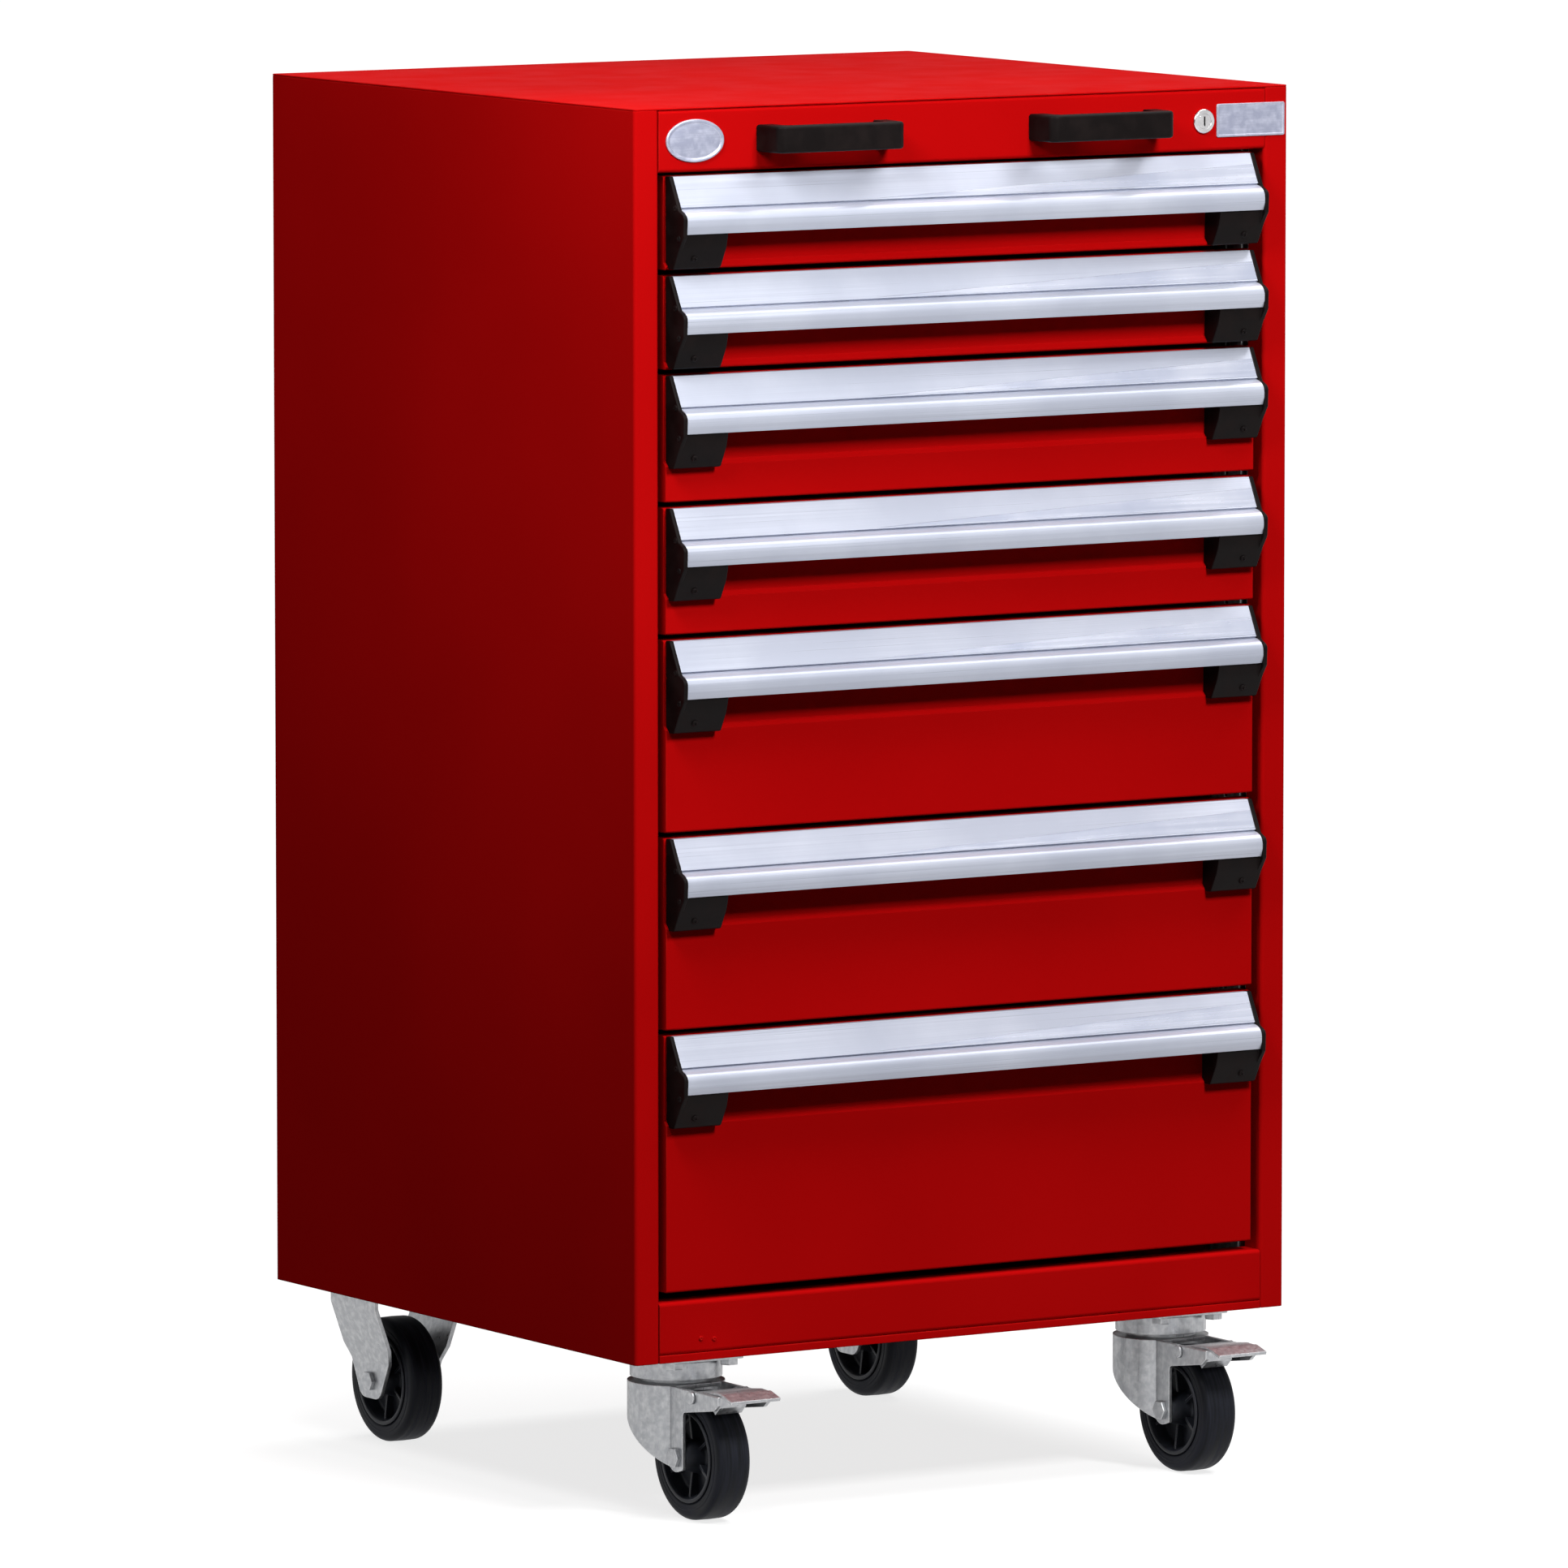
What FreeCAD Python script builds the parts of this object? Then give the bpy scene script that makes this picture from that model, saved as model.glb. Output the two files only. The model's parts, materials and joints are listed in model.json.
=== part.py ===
import FreeCAD, Part
import math
import os
import Sketcher

# A mobile cabinet with seven drawers, a bank lock and four casters, in millimetres.
# X runs from left to right as seen from the front, Y from front to back, Z up from the floor.
# The origin is the middle of the cabinet's footprint on the floor, brake pedals included.

# Driving dimensions
CELLS = {
    "cabinet_width": 600.0,
    "cabinet_depth": 550.0,
    "cabinet_height": 965.2,
    "caster_height": 128.0,
    "pedal_reach": 55.0,
    "sheet": 1.5,
    "bend": 3.0,
    "post_width": 22.0,
    "post_return": 22.0,
    "rear_flange": 18.0,
    "fascia_height": 49.4,
    "plinth_height": 46.6,
    "pan_sheet": 2.5,
    "pan_lip": 6.0,
    "inch": 25.4,
    "drawer_drop": 52.0,
    "drawer_gap": 4.5,
    "front_half": 270.5,
    "front_setback": 2.5,
    "handle_setback": 6.0,
    "front_return": 20.0,
    "drawer_sheet": 1.2,
    "ledge_drop": 66.0,
    "ledge_step": 3.5,
    "tray_half": 265.0,
    "tray_length": 518.0,
    "tray_below_front": 5.0,
    "slide_drop": 49.0,
    "slide_start": 34.0,
    "slide_length": 480.0,
    "rail_height": 45.0,
    "rail_sheet": 1.5,
    "rail_play": 0.5,
    "upright_width": 40.0,
    "grip_length": 120.0,
    "grip_height": 21.0,
    "grip_reach": 30.0,
    "grip_left": 130.5,
    "grip_right": 118.0,
    "grip_drop": 25.5,
    "lock_offset": 220.4,
    "lock_drop": 26.0,
    "bezel_radius": 9.6,
    "barrel_radius": 8.4,
    "plug_radius": 6.0,
    "cam_throw": 7.07,
    "bar_lift": 10.0,
    "bar_station": 24.5,
    "bar_sheet": 3.0,
    "caster_inset": 74.8,
    "front_caster": 62.0,
    "rear_caster": 487.0,
    "trail": 38.0,
    "axle_drop": 78.0,
    "wheel_radius": 50.0,
    "wheel_width": 30.0,
    "rim_radius": 36.0,
    "axle_radius": 6.0,
    "running_fit": 0.06,
    "fork_radius": 38.0,
    "fork_half": 24.0,
    "fork_sheet": 3.0,
    "kingpin_radius": 6.0,
    "plate_sheet": 4.0,
    "bolt_radius": 4.0,
}

# Nominal front heights of the drawers, from the top down, in inches
DRAWER_HEIGHTS = [3, 3, 4, 4, 6, 6, 8]

# Height of the upturned edges of the pan
PAN_FLANGE = 25.0

# Slides and uprights, measured back from the housing face
FRONT_UPRIGHT = 32.0
REAR_UPRIGHT = 470.0
RAIL_START = 30.0
SLIDE_SEAT = 0.5
RAIL_CLEARANCE = 1.5
HOOK_DEPTH = 3.0

# Slots of the uprights
SLOT_WIDTH = 4.0
SLOT_HEIGHT = 12.0
SLOTS_BELOW = 4
SLOT_COUNT = 32

# Lock bar
BAR_MIDDLE = 289.0
BAR_WIDTH = 15.0
STUD_RADIUS = 3.0
PIN_RADIUS = 2.0

# Brake pedal pin, from the kingpin's axis and the top of the caster
PEDAL_PIVOT = (-62.0, -28.5)
PEDAL_PIN = 3.0

# The coordinate that each origin plane's normal follows, and its direction
NORMALS = {"XY_Plane": 1, "YZ_Plane": 1, "XZ_Plane": -1}


class Size:
    """A length from the sheet: its present value, and the expression that binds it."""

    def __init__(self, value, text):
        self.value = value
        self.text = text

    def __add__(self, other):
        return Size(self.value + size(other).value, f"({self.text} + {size(other).text})")

    def __sub__(self, other):
        return Size(self.value - size(other).value, f"({self.text} - {size(other).text})")

    def __mul__(self, factor):
        return Size(self.value * size(factor).value, f"({self.text} * {size(factor).text})")

    def __truediv__(self, factor):
        return Size(self.value / size(factor).value, f"({self.text} / {size(factor).text})")

    def __radd__(self, other):
        return size(other) + self

    def __rsub__(self, other):
        return size(other) - self

    def __rmul__(self, factor):
        return size(factor) * self

    def __neg__(self):
        return -1 * self


def size(item):
    """The item as a Size; a plain number stands for itself."""
    if isinstance(item, Size):
        return item
    return Size(float(item), f"({item:.6f})")


def fill_sheet(doc):
    """Put the driving dimensions in a spreadsheet, and return them as sizes by name."""
    sheet = doc.addObject("Spreadsheet::Sheet", "dims")
    for row, (name, value) in enumerate(CELLS.items(), start=1):
        sheet.set(f"A{row}", name)
        sheet.set(f"B{row}", str(value))
        sheet.setAlias(f"B{row}", name)
    doc.recompute()
    return {name: Size(float(sheet.get(name)), f"dims.{name}") for name in CELLS}


document = FreeCAD.newDocument("mobile_drawer_cabinet")
dims = fill_sheet(document)
nodes = []

half = dims["cabinet_width"] / 2
front = (dims["pedal_reach"] - dims["cabinet_depth"]) / 2
back = front + dims["cabinet_depth"]
base = dims["caster_height"]
top = base + dims["cabinet_height"]
sheet = dims["sheet"]
post = half - dims["post_width"]
opening_top = top - dims["fascia_height"]
opening_bottom = base + dims["plinth_height"]
lock_height = top - dims["lock_drop"]


def bind(item, path, length):
    """Bind a property of a document object to a size."""
    item.setExpression(path, size(length).text)


def node(item, label):
    """Name a document object as one of the pieces that are written out."""
    item.Label = label
    nodes.append(item)
    return item


def new_body(label):
    """An empty body with the given label."""
    body = document.addObject("PartDesign::Body", label)
    body.Label = label
    return body


def place(item, x, y, z):
    """Put an object at a position worked out from the sheet."""
    item.Placement.Base = FreeCAD.Vector(size(x).value, size(y).value, size(z).value)
    bind(item, "Placement.Base.x", x)
    bind(item, "Placement.Base.y", y)
    bind(item, "Placement.Base.z", z)
    return item


def group(label, members):
    """One node that holds several separate solids."""
    compound = document.addObject("Part::Compound", label)
    compound.Links = members
    return node(compound, label)


def attach(body, role, station):
    """A sketch on one of the body's origin planes, moved along its normal to a station."""
    sketch = body.newObject("Sketcher::SketchObject", body.Name + "_sketch")
    plane = next(item for item in body.Origin.OriginFeatures if item.Role == role)
    sketch.AttachmentSupport = [(plane, "")]
    sketch.MapMode = "FlatFace"
    sketch.AttachmentOffset = FreeCAD.Placement(FreeCAD.Vector(0, 0, size(station).value), FreeCAD.Rotation())
    bind(sketch, "AttachmentOffset.Base.z", station)
    return sketch


def fix_point(sketch, geometry, end, u, v):
    """Hold one end of a sketch element at a bound distance from the sketch's origin."""
    for kind, length in (("DistanceX", u), ("DistanceY", v)):
        index = sketch.addConstraint(Sketcher.Constraint(kind, -1, 1, geometry, end, size(length).value))
        bind(sketch, f"Constraints[{index}]", length)


def spot(point):
    """The present place of a bound point in its sketch."""
    return FreeCAD.Vector(size(point[0]).value, size(point[1]).value, 0)


def corner_arc(before, corner, after):
    """The bound start and end of the arc that rounds a corner, and the arc's middle."""
    arm_in = (spot(before) - spot(corner)).normalize()
    arm_out = (spot(after) - spot(corner)).normalize()
    half_angle = arm_in.getAngle(arm_out) / 2
    reach = 1 / math.tan(half_angle)
    u, v, radius = corner
    start = (u + radius * (arm_in.x * reach), v + radius * (arm_in.y * reach))
    end = (u + radius * (arm_out.x * reach), v + radius * (arm_out.y * reach))
    towards = (arm_in + arm_out).normalize() * (1 / math.sin(half_angle) - 1)
    return start, end, spot(corner) + towards * size(radius).value


def draw_outline(sketch, points):
    """A closed outline through points (u, v) or (u, v, radius), all bound to the sheet."""
    count = len(points)
    arcs = {}
    for i, point in enumerate(points):
        if len(point) > 2:
            arcs[i] = corner_arc(points[i - 1], point, points[(i + 1) % count])
    lines = []
    for i in range(count):
        following = (i + 1) % count
        start = arcs[i][1] if i in arcs else points[i]
        end = arcs[following][0] if following in arcs else points[following]
        lines.append(sketch.addGeometry(Part.LineSegment(spot(start), spot(end)), False))
        fix_point(sketch, lines[i], 1, start[0], start[1])
    for i, point in enumerate(points):
        if i in arcs:
            round_corner(sketch, lines[i - 1], lines[i], arcs[i], point[2])
        else:
            sketch.addConstraint(Sketcher.Constraint("Coincident", lines[i - 1], 2, lines[i], 1))


def round_corner(sketch, line_in, line_out, cut, radius):
    """An arc of bound radius between the end of one line and the start of the next."""
    start, end, middle = cut
    fix_point(sketch, line_in, 2, start[0], start[1])
    arc = sketch.addGeometry(Part.Arc(spot(start), middle, spot(end)), False)
    first = 1 if sketch.getPoint(arc, 1).distanceToPoint(spot(start)) < 1e-6 else 2
    sketch.addConstraint(Sketcher.Constraint("Coincident", line_in, 2, arc, first))
    sketch.addConstraint(Sketcher.Constraint("Coincident", line_out, 1, arc, 3 - first))
    index = sketch.addConstraint(Sketcher.Constraint("Radius", arc, size(radius).value))
    bind(sketch, f"Constraints[{index}]", radius)


def draw_circles(sketch, centres, radius):
    """Circles of one bound radius."""
    for u, v in centres:
        middle = FreeCAD.Vector(size(u).value, size(v).value, 0)
        circle = sketch.addGeometry(Part.Circle(middle, FreeCAD.Vector(0, 0, 1), size(radius).value), False)
        index = sketch.addConstraint(Sketcher.Constraint("Radius", circle, size(radius).value))
        bind(sketch, f"Constraints[{index}]", radius)
        fix_point(sketch, circle, 3, u, v)


def extrude(body, role, near, far, cut=False):
    """The sketch of a pad, or of a pocket where cut is set, between two stations along the plane's axis."""
    station = near if NORMALS[role] > 0 else -size(far)
    sketch = attach(body, role, station)
    feature = body.newObject("PartDesign::Pocket" if cut else "PartDesign::Pad", body.Name + "_extrude")
    feature.Profile = sketch
    feature.Length = (size(far) - near).value
    bind(feature, "Length", size(far) - near)
    feature.Reversed = cut
    return sketch


def pad(body, role, near, far, points):
    """Add an outline's prism between two stations."""
    draw_outline(extrude(body, role, near, far), points)


def pocket(body, role, near, far, points):
    """Cut an outline's prism between two stations."""
    draw_outline(extrude(body, role, near, far, cut=True), points)


def pad_discs(body, role, near, far, centres, radius):
    """Add round bosses between two stations."""
    draw_circles(extrude(body, role, near, far), centres, radius)


def drill(body, role, near, far, centres, radius):
    """Cut round holes between two stations."""
    draw_circles(extrude(body, role, near, far, cut=True), centres, radius)


def revolve(body, role, axis, points):
    """Turn an outline once round the sketch's horizontal or vertical axis."""
    sketch = attach(body, role, 0)
    draw_outline(sketch, points)
    feature = body.newObject("PartDesign::Revolution", body.Name + "_turn")
    feature.Profile = sketch
    feature.ReferenceAxis = (sketch, [axis])
    feature.Angle = 360


def box_outline(u_near, u_far, v_near, v_far):
    """The four corners of a rectangle."""
    return [(u_near, v_near), (u_far, v_near), (u_far, v_far), (u_near, v_far)]


def folded(path, thickness, side=1, bend=None):
    """The outline of a sheet bent along a path, thick to the path's left, or to its right with side -1."""
    spots = [FreeCAD.Vector(size(u).value, size(v).value, 0) for u, v in path]
    legs = [(spots[i + 1] - spots[i]).normalize() for i in range(len(spots) - 1)]
    normals = [FreeCAD.Vector(-leg.y, leg.x, 0) * side for leg in legs]
    outer = []
    inner = []
    for i, (u, v) in enumerate(path):
        if i in (0, len(path) - 1):
            normal = normals[min(i, len(normals) - 1)]
            outer.append((u, v))
            inner.append((u + thickness * normal.x, v + thickness * normal.y))
            continue
        offset = (normals[i - 1] + normals[i]) / (1 + normals[i - 1].dot(normals[i]))
        spread = (u + thickness * offset.x, v + thickness * offset.y)
        turns_in = legs[i - 1].cross(legs[i]).z * side > 0
        if bend is None:
            outer.append((u, v))
            inner.append(spread)
        elif turns_in:
            outer.append((u, v, bend))
            inner.append(spread + (bend - thickness,))
        else:
            outer.append((u, v, bend - thickness))
            inner.append(spread + (bend,))
    return outer + inner[::-1]


# Housing


def side_panel(label, side):
    """One side, folded round into the front post and into a flange at the back."""
    body = node(new_body(label), label)
    path = [
        (side * post, front + dims["post_return"]),
        (side * post, front),
        (side * half, front),
        (side * half, back),
        (side * (half - dims["rear_flange"]), back),
    ]
    pad(body, "XY_Plane", base, top - sheet, folded(path, sheet, side, dims["bend"]))


def back_panel():
    """The back, set inside the flanges of the sides, with a folded edge at its foot."""
    body = node(new_body("back_panel"), "back_panel")
    edge = half - 2 * sheet
    lowest = base + PAN_FLANGE
    pad(body, "XZ_Plane", back - 2 * sheet, back - sheet, box_outline(-edge, edge, lowest, top - sheet))
    foot = box_outline(-edge, edge, lowest, lowest + sheet)
    pad(body, "XZ_Plane", back - dims["rear_flange"], back - 2 * sheet, foot)


def top_panel():
    """The top sheet, with a stiffening flange down each side and across the back."""
    body = node(new_body("top_panel"), "top_panel")
    flange_drop = 18.0
    radius = 3.0
    corners = [(-half, front, radius), (half, front, radius), (half, back, radius), (-half, back, radius)]
    pad(body, "XY_Plane", top - sheet, top, corners)
    for side in (-1, 1):
        near = half - 2 * sheet if side > 0 else sheet - half
        flange = box_outline(front + dims["post_return"], back - 3 * sheet, top - flange_drop, top - sheet)
        pad(body, "YZ_Plane", near, near + sheet, flange)


def base_pan():
    """The pan under the drawers: a lip at the front, flanges at the other edges, and the caster holes."""
    body = node(new_body("base_pan"), "base_pan")
    gauge = dims["pan_sheet"]
    flange_top = base + PAN_FLANGE
    inner = half - sheet
    notch = front + dims["post_return"]
    outline = [
        (-post, front),
        (post, front),
        (post, notch),
        (inner, notch),
        (inner, back - sheet, dims["bend"]),
        (-inner, back - sheet, dims["bend"]),
        (-inner, notch),
        (-post, notch),
    ]
    pad(body, "XY_Plane", base, base + gauge, outline)
    pad(body, "XZ_Plane", front, front + gauge, box_outline(-post, post, base, base + dims["pan_lip"]))
    edge = inner - dims["bend"]
    pad(body, "XZ_Plane", back - sheet - gauge, back - sheet, box_outline(-edge, edge, base, flange_top))
    flange_start = front + FRONT_UPRIGHT + dims["upright_width"] + 1.0
    flange_end = front + REAR_UPRIGHT - 1.0
    for side in (-1, 1):
        near = inner - gauge if side > 0 else -inner
        pad(body, "YZ_Plane", near, near + gauge, box_outline(flange_start, flange_end, base, flange_top))
    drill(body, "XY_Plane", base, base + gauge, bolt_centres(), dims["bolt_radius"])


def top_rail():
    """The fascia over the drawers, a folded channel with the hole for the lock."""
    body = node(new_body("top_rail"), "top_rail")
    path = [
        (front + dims["post_return"], opening_top),
        (front, opening_top),
        (front, top - sheet),
        (front + 14.0, top - sheet),
    ]
    pad(body, "YZ_Plane", -post, post, folded(path, sheet, -1, dims["bend"]))
    hole = [(dims["lock_offset"], lock_height)]
    drill(body, "XZ_Plane", front - 1, front + 5, hole, dims["barrel_radius"])


def bottom_rail():
    """The rail under the drawers, a folded channel that stands on the pan's lip."""
    body = node(new_body("bottom_rail"), "bottom_rail")
    foot = base + dims["pan_lip"]
    path = [
        (front + dims["post_return"], opening_bottom),
        (front, opening_bottom),
        (front, foot),
        (front + 14.0, foot),
    ]
    pad(body, "YZ_Plane", -post, post, folded(path, sheet, 1, dims["bend"]))


def drawer_levels():
    """Heights of the top and the bottom edge of each drawer front, from the top down."""
    levels = []
    front_top = top - dims["drawer_drop"]
    for inches in DRAWER_HEIGHTS:
        pitch = inches * dims["inch"]
        levels.append((front_top, front_top - pitch + dims["drawer_gap"]))
        front_top = front_top - pitch
    return levels


def upright(label, side, start):
    """One slotted channel on the side panel, with a slot every inch for the rail hooks."""
    body = new_body(label)
    inner = post + SLIDE_SEAT
    skin = half - sheet
    end = start + dims["upright_width"]
    gauge = dims["rail_sheet"]
    path = [(side * skin, start), (side * inner, start), (side * inner, end), (side * skin, end)]
    pad(body, "XY_Plane", base + dims["pan_sheet"], opening_top, folded(path, gauge, -side))
    middle = start + dims["upright_width"] / 2
    lowest = drawer_levels()[-1][0] - dims["slide_drop"] - SLOTS_BELOW * dims["inch"]
    slot = box_outline(middle - SLOT_WIDTH / 2, middle + SLOT_WIDTH / 2,
                       lowest - SLOT_HEIGHT / 2, lowest + SLOT_HEIGHT / 2)
    near = inner if side > 0 else -inner - gauge
    sketch = extrude(body, "YZ_Plane", near, near + gauge, cut=True)
    draw_outline(sketch, slot)
    repeat_upwards(body, sketch, dims["inch"], SLOT_COUNT)
    return body


def repeat_upwards(body, sketch, spacing, count):
    """Repeat the body's last cut at a steady spacing along the sketch's vertical axis."""
    document.recompute()
    cut = body.Tip
    pattern = body.newObject("PartDesign::LinearPattern", body.Name + "_repeat")
    pattern.Originals = [cut]
    pattern.Direction = (sketch, ["V_Axis"])
    pattern.Occurrences = count
    pattern.Length = ((count - 1) * spacing).value
    bind(pattern, "Length", (count - 1) * spacing)
    body.Tip = pattern
    document.recompute()


def slotted_uprights():
    """Four slotted channels; the front one on the right also carries the studs that guide the lock bar."""
    members = []
    for side, name in ((-1, "left"), (1, "right")):
        for place_name, start in (("front", FRONT_UPRIGHT), ("rear", REAR_UPRIGHT)):
            members.append(upright(f"upright_{place_name}_{name}", side, front + start))
    guide = members[2]
    for height in stud_heights():
        centre = [(BAR_MIDDLE, height)]
        pad_discs(guide, "XZ_Plane", front + 23.9, front + FRONT_UPRIGHT, centre, STUD_RADIUS)
        pad_discs(guide, "XZ_Plane", front + 22.4, front + 23.9, centre, STUD_RADIUS + 2.2)
    group("slotted_uprights", members)


def stud_heights():
    """Heights of the three studs that the lock bar slides on."""
    levels = drawer_levels()
    return [levels[0][0] - 45.0, levels[3][0] - 45.0, levels[6][0] - 60.0]


def channel(body, side, web, tip, middle, level, start, length):
    """A slide rail: its web at one distance from the middle plane, its flanges out to another."""
    reach = dims["rail_height"] / 2 - level * (dims["rail_sheet"] + dims["rail_play"])
    path = [(side * tip, middle + reach), (side * web, middle + reach),
            (side * web, middle - reach), (side * tip, middle - reach)]
    thick_side = side if tip.value > web.value else -side
    outline = folded(path, dims["rail_sheet"], thick_side)
    pad(body, "XZ_Plane", start, start + length, outline)


def fixed_rails():
    """The cabinet's half of each slide, hooked into the slots of the uprights."""
    members = []
    seat = post + SLIDE_SEAT
    for number, (front_top, _) in enumerate(drawer_levels(), start=1):
        middle = front_top - dims["slide_drop"]
        for side, name in ((-1, "left"), (1, "right")):
            body = new_body(f"fixed_rail_{number}_{name}")
            channel(body, side, seat, dims["tray_half"] + RAIL_CLEARANCE, middle, 0,
                    front + RAIL_START, dims["slide_length"] + 10.0)
            for start in (FRONT_UPRIGHT, REAR_UPRIGHT):
                hook_at = front + start + dims["upright_width"] / 2
                hook = box_outline(hook_at - 1.8, hook_at + 1.8, middle - 5.5, middle + 4.0)
                near = seat if side > 0 else -seat - HOOK_DEPTH
                pad(body, "YZ_Plane", near, near + HOOK_DEPTH, hook)
            members.append(body)
    group("fixed_rails", members)


def pull_handles():
    """Two bridge handles on the fascia, to draw the cabinet along by."""
    members = []
    for name, centre in (("left", -dims["grip_left"]), ("right", dims["grip_right"])):
        body = new_body(f"pull_handle_{name}")
        reach = dims["grip_length"] / 2
        tip = front - dims["grip_reach"]
        inside = tip + 10.0
        outline = [
            (centre - reach, front), (centre - reach + 3.0, tip, 7.0),
            (centre + reach - 3.0, tip, 7.0), (centre + reach, front),
            (centre + reach - 14.0, front), (centre + reach - 15.0, inside, 5.0),
            (centre - reach + 15.0, inside, 5.0), (centre - reach + 14.0, front),
        ]
        middle = top - dims["grip_drop"]
        pad(body, "XY_Plane", middle - dims["grip_height"] / 2, middle + dims["grip_height"] / 2, outline)
        document.recompute()
        end_face = reach.value - 9.0
        soften(body, 2.4, lambda edge: is_outer_rim(edge, centre.value, end_face, tip.value))
        members.append(body)
    group("pull_handles", members)


def is_outer_rim(edge, centre, reach, tip):
    """Whether an edge runs level round a bridge handle: along its front, or past the reach at either end."""
    box = edge.BoundBox
    if box.ZLength > 1e-3:
        return False
    if box.YLength < 1e-3:
        return abs(box.YMin - tip) < 1e-3
    return abs(box.Center.x - centre) > reach


def soften(body, radius, wanted):
    """Round every edge of the body that the test picks."""
    solid = body.Tip
    names = [f"Edge{i}" for i, edge in enumerate(solid.Shape.Edges, start=1) if wanted(edge)]
    rounding = body.newObject("PartDesign::Fillet", body.Name + "_rounding")
    rounding.Base = (solid, names)
    rounding.Radius = radius
    document.recompute()


# Lock


def lock_body():
    """The barrel through the fascia, with its bezel."""
    body = node(new_body("lock_body"), "lock_body")
    place(body, dims["lock_offset"], 0, lock_height)
    bore = dims["plug_radius"] + dims["running_fit"]
    bezel = dims["bezel_radius"]
    face = front - 2.5
    revolve(body, "YZ_Plane", "H_Axis", [
        (face, bore), (face, bezel - 0.9), (face + 0.9, bezel), (front, bezel),
        (front, dims["barrel_radius"]), (front + 16.0, dims["barrel_radius"]), (front + 16.0, bore),
    ])


def hexagon(flat_radius):
    """The corners of a hexagon whose flats lie at the given distance from its middle."""
    corner = flat_radius / math.cos(math.pi / 6)
    return [(corner * math.cos(i * math.pi / 3), corner * math.sin(i * math.pi / 3)) for i in range(6)]


def lock_nut():
    """The nut that holds the barrel from behind."""
    body = node(new_body("lock_nut"), "lock_nut")
    place(body, dims["lock_offset"], 0, lock_height)
    pad(body, "XZ_Plane", front + sheet, front + sheet + 4.0, hexagon(11.5))
    drill(body, "XZ_Plane", front + sheet, front + sheet + 4.0, [(0, 0)], dims["barrel_radius"])


def lock_plug():
    """The turning plug, with its key slot, its cam and the pin that lifts the bar."""
    body = node(new_body("lock_plug"), "lock_plug")
    place(body, dims["lock_offset"], 0, lock_height)
    face = front - 2.2
    rear = front + 17.0
    cam_rear = rear + 2.5
    diagonal = math.sqrt(0.5)
    pad_discs(body, "XZ_Plane", face, rear, [(0, 0)], dims["plug_radius"])
    pocket(body, "XZ_Plane", face, front + 6.0, box_outline(-0.7, 0.7, -3.8, 3.8))
    arm = [(-7.0, 6.5, 5.0), (-7.0, -6.5, 5.0), (11.5, -4.6, 4.0), (11.5, 4.6, 4.0)]
    turned = [
        ((along + across) * diagonal, (across - along) * diagonal, radius)
        for along, across, radius in arm
    ]
    pad(body, "XZ_Plane", rear, cam_rear, turned)
    throw = dims["cam_throw"] * diagonal
    pad_discs(body, "XZ_Plane", cam_rear, front + 28.4, [(throw, -throw)], PIN_RADIUS)


def lock_bar():
    """A flat bar behind the right post: an arm to the lock, and a tab that blocks each drawer's catch."""
    body = node(new_body("lock_bar"), "lock_bar")
    near = front + dims["bar_station"]
    far = near + dims["bar_sheet"]
    throw = dims["cam_throw"] * math.sqrt(0.5)
    arm_middle = lock_height - throw
    left = BAR_MIDDLE - BAR_WIDTH / 2
    right = BAR_MIDDLE + BAR_WIDTH / 2
    levels = drawer_levels()
    foot = levels[-1][0] - 90.0
    pad(body, "XZ_Plane", near, far, box_outline(left, right, foot, arm_middle + 7.5))
    arm_start = dims["lock_offset"] + throw - 8.5
    pad(body, "XZ_Plane", near, far, box_outline(arm_start, left, arm_middle - 7.5, arm_middle + 7.5))
    for front_top, _ in levels:
        tab = box_outline(dims["tray_half"] + 3.0, left, front_top - 24.5, front_top - 16.0)
        pad(body, "XZ_Plane", near, far, tab)
    slot_half = PIN_RADIUS + 0.55
    slot_end = dims["lock_offset"] + dims["cam_throw"] + slot_half
    slot_start = dims["lock_offset"] + throw - slot_half
    pocket(body, "XZ_Plane", near, far,
           box_outline(slot_start, slot_end, arm_middle - slot_half, arm_middle + slot_half))
    play = STUD_RADIUS + 0.4
    for height in stud_heights():
        lowest = height - play - dims["bar_lift"]
        slot = box_outline(BAR_MIDDLE - play, BAR_MIDDLE + play, lowest, height + play)
        pocket(body, "XZ_Plane", near, far, slot)


# Drawers


def front_section(front_top, front_bottom, inset):
    """Section of a drawer front: set back behind the handle, then a ledge and the flush face below it."""
    behind = front + dims["front_return"]
    recess = front + dims["handle_setback"] + inset
    face = front + dims["front_setback"] + inset
    ledge = front_top - dims["ledge_drop"] - inset * math.tan(math.pi / 8)
    upper = (recess, front_top - inset)
    lower = (face, front_bottom + inset)
    if not isinstance(inset, Size):
        upper += (2.0,)
        lower += (1.5,)
    return [(behind, front_top - inset), upper, (recess, ledge), (face, ledge - dims["ledge_step"]),
            lower, (behind, front_bottom + inset)]


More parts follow.
